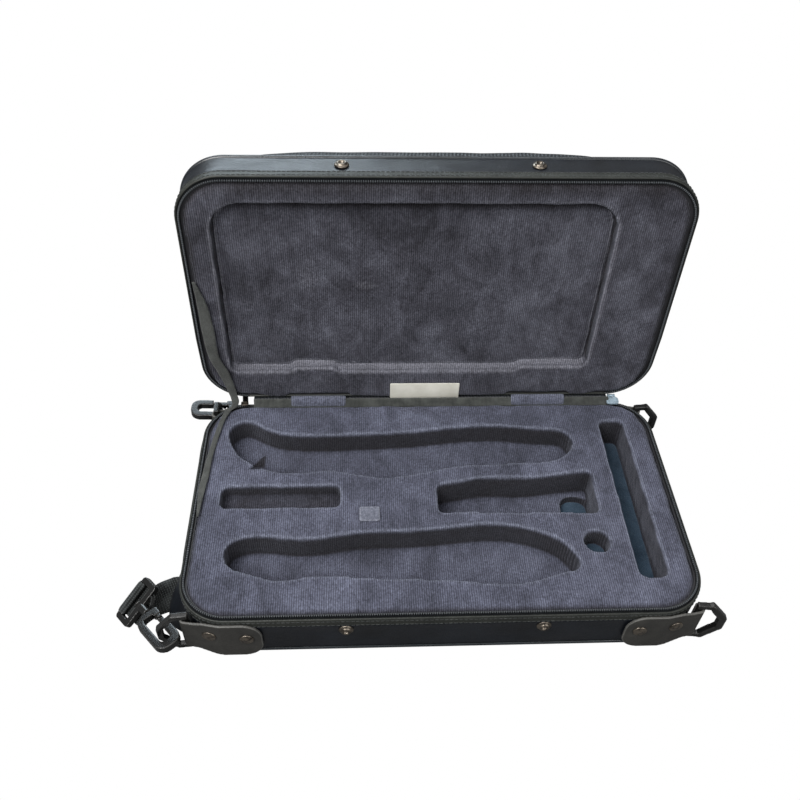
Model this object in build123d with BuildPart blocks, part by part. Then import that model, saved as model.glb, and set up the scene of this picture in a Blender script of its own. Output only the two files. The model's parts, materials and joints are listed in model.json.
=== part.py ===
from build123d import *
import os
from math import cos, radians, sin

os.makedirs("parts", exist_ok=True)

# The case's plan and the height of its two halves
case_width = 362.0
case_depth = 200.0
corner_radius = 33.5
base_height = 44.0
lid_height = 33.0

# The zip's room between the two rims, and how far the lid stands open
rim_gap = 3.0
lid_open = 92.0

# Skins and shells
cover = 1.2
shell_wall = 3.0
fit = 0.1
piping_radius = 1.9
piping_inset = 0.9
panel_inset = 3.0
base_rise = 3.2
base_rise_width = 40.0
lid_rise = 1.0
lid_rise_width = 14.0
binding_depth = 7.4
binding_proud = 0.5
tape_depth = 1.0
tape_below_rim = 2.4
teeth_inset = 0.9
teeth_width = 1.9
teeth_height = 1.6
liner_inset = 4.6
lip_inset = 3.0
lip = 2.0
liner_below_rim = 0.5

# Joint cavities and pockets in the base's foam
upper_joint_depth = 20.0
lower_joint_depth = 22.0
bell_depth = 25.0
tray_depth = 12.0
foam_under_well = 3.9
foam_under_slot = 7.9
reed_hole_depth = 17.0
felt = 1.0

# The lid's foam, its recess and the outside pocket
recess_depth = 8.0
board = 2.0
pocket_depth = 16.0
pocket_zip_y = 52.0
pocket_foot_margin = 27.0
pocket_crown_margin = 40.0
pocket_foot_margin_y = 13.0
pocket_crown_margin_y = 19.0
pocket_corner = 22.0
label_length = 57.0
label_height = 17.0
label_from_edge = 1.1
label_x = -3.5

# Hinges
hinge_offset = 1.5
hinge_centres = (-91.0, 91.0)
hinge_length = 44.0
leaf = 1.2
leaf_height = 19.0
patch = 1.6
knuckle_radius = 2.4
hinge_pin_radius = 1.2
pin_clearance = 0.05

# Corner leathers and their rings
leather = 1.8
leather_gap = 1.1
leather_low = 2.0
leather_top = base_height - 4.7
leather_bend_from_side = 29.0
leather_end_from_side = 57.0
bar_from_side = 6.0
bar_from_front = 5.7
bar_radius = 2.0
bar_clearance = 0.3
ring_low = 2.4
ring_height = 40.0
ring_reach = 20.6
ring_thickness = 4.0
rivet_radius = 4.8
rivet_height = 1.6
rivets_from_side = (46.5, 21.5)
rivets_below_rim = (20.5, 18.0)

# Shoulder strap and its snap hooks
webbing_width = 25.0
webbing = 1.6
floor_clearance = 0.1
hook_length = 45.5
hook_thickness = 5.5
frame_length = 34.0
frame_depth = 15.5
frame_bar = 4.4
swivel_radius = 1.7
rear_hook_behind_bar = 20.75
hank_layers = 4
hank_ends = (-110.0, 90.0)
layer_pitch = 2.1

half_width = case_width / 2
half_depth = case_depth / 2
leather_bend = half_width - leather_bend_from_side
leather_inner_end = half_width - leather_end_from_side
hinge_y = half_depth + hinge_offset
hinge_z = base_height + rim_gap / 2
turn = radians(lid_open)
lid_up = Vector(0, -cos(turn), sin(turn))
lid_out = Vector(0, sin(turn), cos(turn))
lid_to_rim = lid_out * -1
lid_centre = Vector(0, hinge_y, hinge_z) + lid_up * hinge_y + lid_out * (rim_gap / 2 + lid_height)


def level(half, d):
    """The plane at distance d from a half's outer face, facing its rim."""
    if half == "base":
        return Plane.XY.offset(d)
    return Plane(origin=lid_centre + lid_to_rim * d, x_dir=(1, 0, 0), z_dir=lid_to_rim)


def toward_hinge(half):
    """Which way the hinge lies in a level's own y."""
    return 1 if half == "base" else -1


def plan(inset, mode=Mode.ADD):
    """The case's outline, drawn in by an inset."""
    RectangleRounded(case_width - 2 * inset, case_depth - 2 * inset, corner_radius - inset, mode=mode)


def save(piece, name):
    piece.part.label = name
    export_step(piece.part, f"parts/{name}.step")


def band(half, outer, inner, low, depth):
    """A closed band along the outline, between two insets."""
    with BuildPart() as piece:
        with BuildSketch(level(half, low)):
            plan(outer)
            plan(inner, Mode.SUBTRACT)
        extrude(amount=depth)
    return piece


def zip_band(half, outer, inner, low, depth):
    """A band that is open along the hinge side, where no zip runs."""
    straight = case_width - 2 * corner_radius
    with BuildPart() as piece:
        with BuildSketch(level(half, low)):
            plan(outer)
            plan(inner, Mode.SUBTRACT)
            with Locations((0, toward_hinge(half) * half_depth)):
                Rectangle(straight, corner_radius, mode=Mode.SUBTRACT)
        extrude(amount=depth)
    return piece


def outer_panel(half, rise, rise_width):
    """The cover's large panel, which bulges a little past the edge piping."""
    with BuildPart() as piece:
        with BuildSketch(level(half, 0)):
            RectangleRounded(case_width - 2 * rise_width, case_depth - 2 * rise_width, corner_radius / 2)
        with BuildSketch(level(half, rise)):
            plan(panel_inset)
        loft()
        with BuildSketch(level(half, rise)):
            plan(panel_inset)
        extrude(amount=cover - fit)
    return piece


def piping(half, rise):
    """The round bead sewn between the large panel and the side."""
    w, d, r = half_width - piping_inset, half_depth - piping_inset, corner_radius - piping_inset
    with BuildPart() as piece:
        with BuildLine(level(half, rise + piping_radius - 0.3)) as path:
            FilletPolyline((-w, -d), (w, -d), (w, d), (-w, d), radius=r, close=True)
        with BuildSketch(Plane(origin=path.line @ 0, z_dir=path.line % 0)):
            Circle(piping_radius)
        sweep(path=path.line)
    return piece


def shell(half, rise, height):
    """The moulded tray under the cover."""
    floor = rise + cover
    step = 2 * piping_radius + 0.1
    with BuildPart() as piece:
        with BuildSketch(level(half, floor)):
            plan(panel_inset)
        extrude(amount=step)
        with BuildSketch(level(half, floor + step)):
            plan(cover + fit)
        extrude(amount=height - tape_below_rim - 0.2 - floor - step)
        with BuildSketch(level(half, floor + shell_wall)):
            plan(cover + fit + shell_wall)
        extrude(amount=height, mode=Mode.SUBTRACT)
    return piece


def half_skins(half, rise, rise_width, height):
    """All the sewn and moulded layers that both halves have."""
    rim_low = height - tape_below_rim - tape_depth
    binding_low = rim_low - binding_depth + tape_depth
    side_low = rise + 2 * piping_radius
    save(outer_panel(half, rise, rise_width), f"{half}_outer_panel")
    save(piping(half, rise), f"{half}_piping")
    save(shell(half, rise, height), f"{half}_shell")
    save(band(half, 0, cover, side_low, binding_low - fit - side_low), f"{half}_side_cover")
    save(band(half, -binding_proud, cover, binding_low, rim_low + tape_depth - 0.2 - binding_low),
         f"{half}_rim_binding")
    tape_low = height - tape_below_rim
    save(zip_band(half, 0.2, teeth_inset + teeth_width - 0.1, tape_low, tape_depth), f"{half}_zip_tape")
    save(zip_band(half, teeth_inset, teeth_inset + teeth_width - 0.1, tape_low + tape_depth, teeth_height),
         f"{half}_zip_teeth")


half_skins("base", base_rise, base_rise_width, base_height)
half_skins("lid", lid_rise, lid_rise_width, lid_height)

# Foam insert of the base, with a cavity for each joint of the instrument
liner_floor = base_rise + cover + shell_wall + 0.2
liner_top = base_height - liner_below_rim
bell_well_depth = liner_top - liner_floor - foam_under_well
slot_depth = liner_top - liner_floor - foam_under_slot
upper_joint = [
    (-161, 64), (-158, 76), (-149, 80), (-133, 72), (-110, 65), (-60, 65), (-20, 67), (22, 72), (57, 73),
    (92, 69), (109, 65), (113, 54), (106, 42), (88, 35), (60, 33), (20, 31), (-8, 25), (-30, 21), (-53, 22), (-75, 27),
    (-125, 28), (-147, 40),
]
lower_joint = [
    (-153, -50), (-150, -38), (-134, -33), (-98, -36), (-61, -31), (-24, -30), (20, -26), (52, -26), (75, -33),
    (90, -43), (97, -62), (84, -67), (62, -74), (20, -73), (-26, -70), (-61, -68), (-96, -67), (-117, -70),
    (-134, -64),
]
bell = [(1, -13), (1, 12), (35, 19), (70, 18), (122, 24.5), (121, -15.5), (60, -14)]
bell_well = (110.4, 2.0, 22.0, 32.0)
tray = (-116.5, 3.0, 89.0, 20.0)
slot = (148.5, 2.6, 21.0, 149.6)
reed_hole = (113.8, -41.4, 9.5)

with BuildPart() as base_liner:
    with BuildSketch(level("base", liner_floor)):
        plan(liner_inset)
    extrude(amount=liner_top - liner_floor)
    with BuildSketch(level("base", liner_top - lip)):
        plan(lip_inset)
    extrude(amount=lip)
    fillet(base_liner.edges().group_by(Axis.Z)[-1], radius=1.5)
    with BuildSketch(level("base", liner_top)):
        with BuildLine():
            Spline(*upper_joint, periodic=True)
        make_face()
    extrude(amount=-upper_joint_depth, mode=Mode.SUBTRACT)
    with BuildSketch(level("base", liner_top)):
        with BuildLine():
            Spline(*lower_joint, periodic=True)
        make_face()
    extrude(amount=-lower_joint_depth, mode=Mode.SUBTRACT)
    with BuildSketch(level("base", liner_top)):
        with BuildLine():
            FilletPolyline(*bell, radius=4, close=True)
        make_face()
    extrude(amount=-bell_depth, mode=Mode.SUBTRACT)
    with BuildSketch(level("base", liner_top)):
        with Locations(bell_well[:2]):
            RectangleRounded(bell_well[2], bell_well[3], 9)
    extrude(amount=-bell_well_depth, mode=Mode.SUBTRACT)
    with BuildSketch(level("base", liner_top)):
        with Locations(tray[:2]):
            RectangleRounded(tray[2], tray[3], 5)
    extrude(amount=-tray_depth, mode=Mode.SUBTRACT)
    with BuildSketch(level("base", liner_top)):
        with Locations(slot[:2]):
            RectangleRounded(slot[2], slot[3], 6)
    extrude(amount=-slot_depth, mode=Mode.SUBTRACT)
    with BuildSketch(level("base", liner_top)):
        with Locations(reed_hole[:2]):
            Circle(reed_hole[2])
    extrude(amount=-reed_hole_depth, mode=Mode.SUBTRACT)
save(base_liner, "base_liner")

with BuildPart() as pocket_felts:
    with BuildSketch(level("base", liner_top - slot_depth + fit)):
        with Locations(slot[:2]):
            RectangleRounded(slot[2] - 0.6, slot[3] - 0.6, 5.7)
    extrude(amount=felt)
    with BuildSketch(level("base", liner_top - bell_well_depth + fit)):
        with Locations(bell_well[:2]):
            RectangleRounded(bell_well[2] - 0.6, bell_well[3] - 0.6, 8.7)
    extrude(amount=felt)
    with BuildSketch(level("base", liner_top - reed_hole_depth + fit)):
        with Locations(reed_hole[:2]):
            Circle(reed_hole[2] - 0.3)
    extrude(amount=felt)
save(pocket_felts, "pocket_felts")

# Square touch patch on the foam between the tray and the bell cavity
with BuildPart() as touch_patch:
    with BuildSketch(level("base", liner_top + fit)):
        with Locations((-50.5, -15)):
            RectangleRounded(15, 13, 1.5)
    extrude(amount=1.0)
save(touch_patch, "touch_patch")

# Foam pad of the lid, with a recess that is narrower over each hinge
recess_left, recess_right = -159.0, 126.0
recess_low, recess_high = -72.0, 80.0
pad_top = lid_height - liner_below_rim
pad_floor = lid_rise + cover + shell_wall + 0.2
with BuildPart() as lid_pad:
    with BuildSketch(level("lid", pad_floor)):
        plan(liner_inset)
    extrude(amount=pad_top - pad_floor)
    with BuildSketch(level("lid", pad_top - lip)):
        plan(lip_inset)
    extrude(amount=lip)
    pad_face = lid_pad.faces().sort_by(lambda f: -(f.center() - lid_centre).dot(lid_to_rim))[0]
    fillet(pad_face.edges(), radius=1.5)
    with BuildSketch(level("lid", pad_top)) as recess:
        with BuildLine():
            FilletPolyline(
                (recess_left, recess_low), (-112, recess_low), (-108, recess_low + 4), (-78, recess_low + 4),
                (-74, recess_low), (69, recess_low), (73, recess_low + 4), (113, recess_low + 4),
                (recess_right, recess_low + 2), (recess_right, recess_high), (recess_left, recess_high),
                radius=(7, 2, 2, 2, 2, 2, 2, 2, 7, 22, 22), close=True,
            )
        make_face()
    extrude(amount=-recess_depth - board - fit, mode=Mode.SUBTRACT)
save(lid_pad, "lid_pad")

with BuildPart() as lid_panel:
    with BuildSketch(level("lid", pad_top - recess_depth - board)):
        add(offset(recess.sketch_local, amount=-0.4, mode=Mode.PRIVATE))
    extrude(amount=board)
save(lid_panel, "lid_panel")

# Blank plate by the hinge
with BuildPart() as label_plate:
    with BuildSketch(level("lid", pad_top + fit)):
        with Locations((label_x, label_height / 2 + label_from_edge - half_depth)):
            RectangleRounded(label_length, label_height, 1)
    extrude(amount=0.8)
save(label_plate, "label_plate")

# Ribbon of zip tape that runs on from the base to the lid past the left hinge corner
ribbon_base_line = [(23.5, 10), (17, 17), (13, 26), (9, 56), (7.5, 92), (7.5, 110)]
ribbon_lid_line = [(24, 12), (16, 27), (12, 46), (10, 72), (9.5, 96), (9, 116)]


def ribbon(half, low, line_points, width):
    """A flat ribbon; its points are distances from the left side and from the hinge side."""
    side = toward_hinge(half)
    points = [(x - half_width, side * (half_depth - y)) for x, y in line_points]
    with BuildPart() as piece:
        with BuildSketch(level(half, low)):
            with BuildLine() as line:
                Spline(*points)
            trace(line.line, line_width=width)
        extrude(amount=0.6)
    return piece


save(ribbon("base", liner_top + fit, ribbon_base_line, 5.0), "base_ribbon")
save(ribbon("lid", pad_top + fit, ribbon_lid_line, 7.6), "lid_ribbon")

# Two butt hinges under the spine strip
segment = hinge_length / 5
hinge_axis_low = base_height - leaf_height - 1


def hinge_leaves(half, knuckles):
    """One leaf at each hinge, with its share of the five knuckles."""
    side = toward_hinge(half)
    height = base_height if half == "base" else lid_height
    axis_d = height + rim_gap / 2
    leaf_y = side * (half_depth + binding_proud + fit + leaf / 2)
    with BuildPart() as piece:
        for centre in hinge_centres:
            with BuildSketch(level(half, height - leaf_height - 1)):
                with Locations((centre, leaf_y)):
                    Rectangle(hinge_length, leaf)
            extrude(amount=leaf_height)
            for k in knuckles:
                x = centre + (k - 2) * segment
                here = level(half, axis_d)
                origin = here.from_local_coords(Vector(x, side * hinge_y, 0))
                with BuildSketch(Plane(origin=origin, x_dir=here.z_dir, z_dir=(1, 0, 0))):
                    Circle(knuckle_radius)
                extrude(amount=segment / 2 - 0.15, both=True)
                with BuildSketch(level(half, height - 1.5)):
                    with Locations((x, leaf_y)):
                        Rectangle(segment - 0.3, leaf)
                extrude(amount=1.5)
        for centre in hinge_centres:
            with BuildSketch(Plane(origin=(centre, hinge_y, hinge_z), z_dir=(1, 0, 0))):
                Circle(hinge_pin_radius + pin_clearance)
            extrude(amount=hinge_length / 2 + 1, both=True, mode=Mode.SUBTRACT)
            for k in range(5):
                if k not in knuckles:
                    x = centre + (k - 2) * segment
                    with BuildSketch(Plane(origin=(x, hinge_y, hinge_z), z_dir=(1, 0, 0))):
                        Circle(knuckle_radius + 0.3)
                    extrude(amount=segment / 2 + 0.01, both=True, mode=Mode.SUBTRACT)
    return piece


save(hinge_leaves("base", (0, 2, 4)), "base_hinge_leaves")
save(hinge_leaves("lid", (1, 3)), "lid_hinge_leaves")

with BuildPart() as hinge_pins:
    for centre in hinge_centres:
        with BuildSketch(Plane(origin=(centre, hinge_y, hinge_z), z_dir=(1, 0, 0))):
            Circle(hinge_pin_radius)
        extrude(amount=hinge_length / 2, both=True)
save(hinge_pins, "hinge_pins")

# Plush patches that hide the hinges from inside
with BuildPart() as hinge_patches:
    with BuildSketch(level("base", base_height - tape_below_rim)):
        for centre in hinge_centres:
            with Locations((centre, hinge_y - knuckle_radius - 0.3 - patch / 2)):
                Rectangle(hinge_length, patch)
    extrude(amount=tape_below_rim + rim_gap - 0.8)
save(hinge_patches, "hinge_patches")

# Spine strips sewn over the leaves, one on each half
spine_length = case_width - 2 * corner_radius - 6
spine_depth = 24.0
spine_y = half_depth + binding_proud + fit + leaf + 0.2
for half, height in (("base", base_height), ("lid", lid_height)):
    with BuildPart() as spine:
        with BuildSketch(level(half, height - spine_depth)):
            with Locations((0, toward_hinge(half) * (spine_y + 0.5))):
                Rectangle(2 * leather_inner_end - 4, 1.0)
        extrude(amount=spine_depth - 1.4)
        with BuildSketch(level(half, height - 4.2)):
            with Locations((0, toward_hinge(half) * (spine_y + 0.5))):
                Rectangle(spine_length, 1.0)
        extrude(amount=2.8)
    save(spine, f"{half}_spine_strip")

# Press studs on both front walls
stud_x = 67.5
stud_levels = {"base": base_height - 15, "lid": lid_height - 18.5}
for half in ("base", "lid"):
    front = -toward_hinge(half)
    here = level(half, stud_levels[half])
    with BuildPart() as press_studs:
        for x in (-stud_x, stud_x):
            origin = here.from_local_coords(Vector(x, front * (half_depth + fit), 0))
            with BuildSketch(Plane(origin=origin, x_dir=(1, 0, 0), z_dir=here.y_dir * front)):
                Circle(5.0)
            extrude(amount=1.2)
            origin = here.from_local_coords(Vector(x, front * (half_depth + fit + 1.2), 0))
            with BuildSketch(Plane(origin=origin, x_dir=(1, 0, 0), z_dir=here.y_dir * front)):
                Circle(3.4)
                Circle(1.5, mode=Mode.SUBTRACT)
            extrude(amount=1.0)
    save(press_studs, f"{half}_press_studs")

# Corner leathers, folded round the bars of the rings
bar_x = half_width - bar_from_side
wrap_inner = bar_radius + bar_clearance
wrap_outer = wrap_inner + leather
front_face = half_depth + leather_gap + leather
wrap_middle = wrap_inner + leather / 2
bar_y = half_depth - bar_from_front
fold_low = ring_low + ring_thickness + 0.6
fold_high = ring_low + ring_height - ring_thickness - 0.6
backing_top = base_height - tape_below_rim - binding_depth - 0.4


def wall_plane(sy, distance):
    """A plane on the front or back wall, facing out, with Z up."""
    return Plane(origin=(0, sy * distance, 0), x_dir=(-sy, 0, 0), z_dir=(0, sy, 0))


def strip_line():
    """The leather's middle line in plan: straight, then leaning back to the ring's bar."""
    face = front_face - leather / 2
    return [(leather_inner_end, face), (leather_bend, face), (bar_x, bar_y + wrap_middle)]


def corner_leather(sx, sy):
    leg_end = bar_x - 1.6
    silhouette = [
        (leather_inner_end, leather_low), (bar_x - 18, leather_low), (bar_x - 6, fold_low),
        (bar_x + 6, fold_low), (bar_x + 6, fold_high), (bar_x - 6, fold_high), (bar_x - 12, leather_top),
        (leather_inner_end, leather_top),
    ]
    with BuildPart() as piece:
        with BuildSketch(Plane.XY.offset(leather_low)):
            with Locations((sx * bar_x, sy * bar_y)):
                Circle(wrap_outer)
            with Locations((sx * (bar_x - wrap_outer), sy * bar_y)):
                Rectangle(2 * wrap_outer, 2 * wrap_outer + 1, mode=Mode.SUBTRACT)
            with Locations((sx * (bar_x + leg_end) / 2, sy * (bar_y - wrap_middle))):
                Rectangle(bar_x - leg_end, leather)
            with BuildLine() as line:
                Polyline(*[(sx * x, sy * y) for x, y in strip_line()])
            trace(line.line, line_width=leather)
            with Locations((sx * bar_x, sy * bar_y)):
                Circle(wrap_inner, mode=Mode.SUBTRACT)
        extrude(amount=leather_top - leather_low)
        with BuildSketch(wall_plane(sy, half_depth - corner_radius)):
            with BuildLine():
                FilletPolyline(*[(-sy * sx * x, z) for x, z in silhouette],
                               radius=(14, 8, 2, 0, 0, 1, 3, 14), close=True)
            make_face()
        extrude(amount=corner_radius + 10, mode=Mode.INTERSECT)
        with BuildSketch(wall_plane(sy, half_depth + fit)):
            backing_end = half_width - corner_radius
            middle = (leather_inner_end + 8 + backing_end) / 2
            with Locations((-sy * sx * middle, (fold_low + backing_top) / 2)):
                Rectangle(backing_end - leather_inner_end - 8, backing_top - fold_low)
        extrude(amount=leather_gap)
    return piece


def corner_ring(sx, sy, swing):
    """A triangular ring on its upright bar, swung outwards by an angle."""
    a = radians(swing)
    e = Vector(sx * cos(a), sy * sin(a), 0)
    t = ring_thickness
    top = ring_low + ring_height
    mid = ring_low + ring_height / 2
    upright = Plane(origin=(sx * bar_x, sy * bar_y, 0), x_dir=e, z_dir=e.cross(Vector(0, 0, 1)))
    with BuildPart() as piece:
        with BuildSketch(upright):
            with BuildLine():
                Polyline((-bar_radius, ring_low), (9, ring_low), (ring_reach, mid - 6), (ring_reach, mid + 6),
                         (9, top), (-bar_radius, top), close=True)
            make_face()
            with BuildLine():
                Polyline((-9, ring_low + t), (7.6, ring_low + t), (ring_reach - t, mid - 4.8),
                         (ring_reach - t, mid + 4.8), (7.6, top - t), (-9, top - t), close=True)
            make_face(mode=Mode.SUBTRACT)
        extrude(amount=t / 2, both=True)
        with BuildSketch(Plane(origin=(sx * bar_x, sy * bar_y, ring_low + t / 2))):
            Circle(bar_radius)
        extrude(amount=ring_height - t)
    return piece


corners = {
    "front_left": (-1, -1, 5.0),
    "front_right": (1, -1, 5.5),
    "rear_left": (-1, 1, 88.0),
    "rear_right": (1, 1, 5.0),
}
for place, (sx, sy, swing) in corners.items():
    save(corner_leather(sx, sy), f"leather_{place}")
    save(corner_ring(sx, sy, swing), f"ring_{place}")

lean = Vector(bar_x - leather_bend, bar_y + wrap_middle - front_face + leather / 2, 0).normalized()
with BuildPart() as corner_rivets:
    for sx, sy, swing in corners.values():
        for inward, drop in zip(rivets_from_side, rivets_below_rim):
            x = half_width - inward
            z = base_height - drop
            out = Vector(0, 1, 0) if x < leather_bend else Vector(-lean.Y, lean.X, 0)
            on_strip = Vector(x, front_face - leather / 2, z)
            if x > leather_bend:
                on_strip = on_strip + Vector(0, lean.Y / lean.X * (x - leather_bend), 0)
            seat = on_strip + out * (leather / 2 + fit)
            here = Plane(origin=(sx * seat.X, sy * seat.Y, z), z_dir=(sx * out.X, sy * out.Y, 0))
            with BuildSketch(here):
                Circle(rivet_radius)
            extrude(amount=rivet_height, taper=25)
save(corner_rivets, "corner_rivets")

# The zip's end stop at the left and its slider and pull at the right of the hinge side
zip_end_y = half_depth - teeth_inset - teeth_width / 2
with BuildPart() as zip_stop:
    with BuildSketch(level("base", base_height - tape_below_rim + tape_depth + teeth_height + fit)):
        with Locations((-half_width + corner_radius - 4, zip_end_y)):
            RectangleRounded(6, 4, 1)
    extrude(amount=1.6)
save(zip_stop, "zip_stop")

slider_x = half_width - corner_radius + 7
slider_low = base_height - tape_below_rim + tape_depth + teeth_height + fit
pull_y = front_face + 1.4
pull_z = slider_low + 1.1
pull_pin = 0.6
pull_length = 17.0
with BuildPart() as zip_slider:
    with BuildSketch(level("base", slider_low)):
        with Locations((slider_x, zip_end_y)):
            RectangleRounded(10, 7, 2)
    extrude(amount=2.0)
    with BuildSketch(level("base", slider_low)):
        for dx in (-2.6, 2.6):
            with Locations((slider_x + dx, (zip_end_y + pull_y + 1) / 2)):
                Rectangle(1.2, pull_y + 1 - zip_end_y)
    extrude(amount=2.2)
    with BuildSketch(Plane(origin=(slider_x - 2.6, pull_y, pull_z), z_dir=(1, 0, 0))):
        Circle(pull_pin)
    extrude(amount=5.2)
save(zip_slider, "zip_slider")

with BuildPart() as zip_pull:
    with BuildSketch(Plane(origin=(slider_x - 1.6, pull_y, pull_z), x_dir=(0, 1, 0), z_dir=(1, 0, 0))):
        Circle(pull_pin + 0.05 + 0.6)
        with Locations((0, -pull_length / 2)):
            Rectangle(1.3, pull_length)
        Circle(pull_pin + 0.05, mode=Mode.SUBTRACT)
    extrude(amount=3.2)
save(zip_pull, "zip_pull")

# Music pocket on the lid's outside, with its own zip
with BuildPart() as outer_pocket:
    with BuildSketch(level("lid", -fit)):
        with Locations((-8, 10)):
            RectangleRounded(case_width - 2 * pocket_foot_margin, case_depth - 2 * pocket_foot_margin_y,
                             pocket_corner)
    with BuildSketch(level("lid", -pocket_depth)):
        with Locations((-8, 14)):
            RectangleRounded(case_width - 2 * pocket_crown_margin, case_depth - 2 * pocket_crown_margin_y,
                             pocket_corner)
    loft()
save(outer_pocket, "outer_pocket")

zip_length = 220.0
pocket_zip_face = -pocket_depth - fit
with BuildPart() as pocket_zip:
    with BuildSketch(level("lid", pocket_zip_face)):
        with Locations((-8, pocket_zip_y)):
            Rectangle(zip_length, 12)
    extrude(amount=-0.8)
    with BuildSketch(level("lid", pocket_zip_face - 0.8)):
        with Locations((-8, pocket_zip_y)):
            Rectangle(zip_length, 3.6)
    extrude(amount=-1.0)
save(pocket_zip, "pocket_zip")

pocket_slider_x = -8 + zip_length / 2 - 10
slider_face = pocket_zip_face - 0.8 - 1.0 - 0.3
eye_d = slider_face - 3.6
with BuildPart() as pocket_slider:
    with BuildSketch(level("lid", slider_face)):
        with Locations((pocket_slider_x, pocket_zip_y)):
            RectangleRounded(10, 8, 2)
    extrude(amount=-2.0)
    with BuildSketch(level("lid", slider_face - 2.0)):
        for dx in (-2.6, 2.6):
            with Locations((pocket_slider_x + dx, pocket_zip_y)):
                Rectangle(1.2, 2.4)
    extrude(amount=-2.6)
    eye = level("lid", eye_d).from_local_coords(Vector(pocket_slider_x - 2.6, pocket_zip_y, 0))
    with BuildSketch(Plane(origin=eye, z_dir=(1, 0, 0))):
        Circle(pull_pin)
    extrude(amount=5.2)
save(pocket_slider, "pocket_slider")

with BuildPart() as pocket_pull:
    eye = level("lid", eye_d).from_local_coords(Vector(pocket_slider_x - 1.6, pocket_zip_y, 0))
    with BuildSketch(Plane(origin=eye, x_dir=lid_out, z_dir=(1, 0, 0))):
        Circle(pull_pin + 0.05 + 0.6)
        with Locations((0, -11)):
            Rectangle(1.3, 22)
        Circle(pull_pin + 0.05, mode=Mode.SUBTRACT)
    extrude(amount=3.2)
save(pocket_pull, "pocket_pull")

# Snap hooks: s runs along the hook from the frame's inner bar, t across it to the gate
opening_low, opening_high = -6.2, 1.9
back_edge, gate_edge = -11.2, 7.0
nose_inner = hook_length - 6.0
gate_pivot = (13.5, 4.2)
gate_end = 25.3
gate_radius = 1.9
gate_pin = 1.0
mouth_start, mouth_end = 11.4, 27.5
mouth_low, mouth_high = opening_high - 0.7, gate_edge + 2


def hook_plane(origin, along, across, lift=0.0):
    """The hook's own plane, moved off it by a distance along its normal."""
    normal = along.cross(across).normalized()
    return Plane(origin=origin + normal * lift, x_dir=along, z_dir=normal)


def hook_body(origin, along, across):
    with BuildPart() as piece:
        with BuildSketch(hook_plane(origin, along, across)):
            with BuildLine():
                FilletPolyline((9, -4.5), (15, back_edge), (hook_length, back_edge), (hook_length, gate_edge),
                               (9, gate_edge), radius=(2, 5, 8, 7, 2), close=True)
            make_face()
            with BuildLine():
                FilletPolyline((14, opening_low + 1), (17, opening_low), (nose_inner, opening_low),
                               (nose_inner, opening_high), (14, opening_high), radius=(1, 1, 3, 3, 1), close=True)
            make_face(mode=Mode.SUBTRACT)
            with Locations(((mouth_start + mouth_end) / 2, (mouth_low + mouth_high) / 2)):
                Rectangle(mouth_end - mouth_start, mouth_high - mouth_low, mode=Mode.SUBTRACT)
        extrude(amount=hook_thickness / 2, both=True)
        for side in (-1, 1):
            with BuildSketch(hook_plane(origin, along, across, side * (hook_thickness / 2 - 1))):
                with Locations(gate_pivot):
                    RectangleRounded(5.4, 5.2, 1)
            extrude(amount=side * 1.0)
        with BuildSketch(hook_plane(origin, along, across)):
            with Locations(gate_pivot):
                Circle(gate_pin)
        extrude(amount=hook_thickness / 2 - 0.5, both=True)
        post = Plane(origin=origin - along * (frame_bar / 2 + 1.8), z_dir=along)
        with BuildSketch(post):
            Circle(swivel_radius)
        extrude(amount=frame_bar / 2 + 1.8 + 9.5)
        with BuildSketch(post):
            Circle(swivel_radius + 1.2)
        extrude(amount=1.5)
    return piece


def hook_gate(origin, along, across):
    width = gate_end - gate_pivot[0]
    with BuildPart() as piece:
        with BuildSketch(hook_plane(origin, along, across)):
            with Locations(((gate_pivot[0] + gate_end) / 2, gate_pivot[1])):
                SlotCenterToCenter(width, 2 * gate_radius)
            with Locations(gate_pivot):
                Circle(gate_pin + pin_clearance, mode=Mode.SUBTRACT)
        extrude(amount=hook_thickness / 2 - 1.2, both=True)
        with BuildSketch(hook_plane(origin, along, across, hook_thickness / 2 - 1.2)):
            with Locations((gate_pivot[0] + 5, gate_pivot[1])):
                Circle(1.5)
        extrude(amount=2.0)
    return piece


def hook_frame(origin, along, across, tilt):
    """The slotted frame that the webbing passes through, with the swivel's barrel."""
    normal = along.cross(across).normalized()
    side = across * cos(radians(tilt)) + normal * sin(radians(tilt))
    flat = Plane(origin=origin, x_dir=along, z_dir=along.cross(side))
    with BuildPart() as piece:
        with BuildSketch(flat):
            with Locations((frame_bar / 2 - frame_depth / 2, 0)):
                RectangleRounded(frame_depth, frame_length, 2.5)
            with Locations((-frame_bar / 2 - 3.55, 0)):
                RectangleRounded(7.1, frame_length - 8, 0.4, mode=Mode.SUBTRACT)
        extrude(amount=frame_bar / 2, both=True)
        with BuildSketch(Plane(origin=origin, z_dir=along)):
            Circle(3.4)
        extrude(amount=8.6)
        with BuildSketch(Plane(origin=origin - along * frame_bar, z_dir=along)):
            Circle(swivel_radius + pin_clearance)
        extrude(amount=frame_bar + 9, mode=Mode.SUBTRACT)
    return piece, side


hooks = {
    "front": (Vector(-211.95, -71.0, 14.5), Vector(0.649, -0.744, 0.155).normalized(), Vector(0.754, 0.657, 0),
              30.0),
    "rear": (Vector(-154.6, bar_y + rear_hook_behind_bar, 21.6), Vector(-1, 0, 0.04).normalized(),
             Vector(0, 1, 0), -65.0),
}
frame_sides = {}
for place, (origin, along, across, tilt) in hooks.items():
    across = (across - along * across.dot(along)).normalized()
    save(hook_body(origin, along, across), f"hook_{place}")
    save(hook_gate(origin, along, across), f"hook_gate_{place}")
    frame, side = hook_frame(origin, along, across, tilt)
    save(frame, f"hook_frame_{place}")
    frame_sides[place] = side

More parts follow.
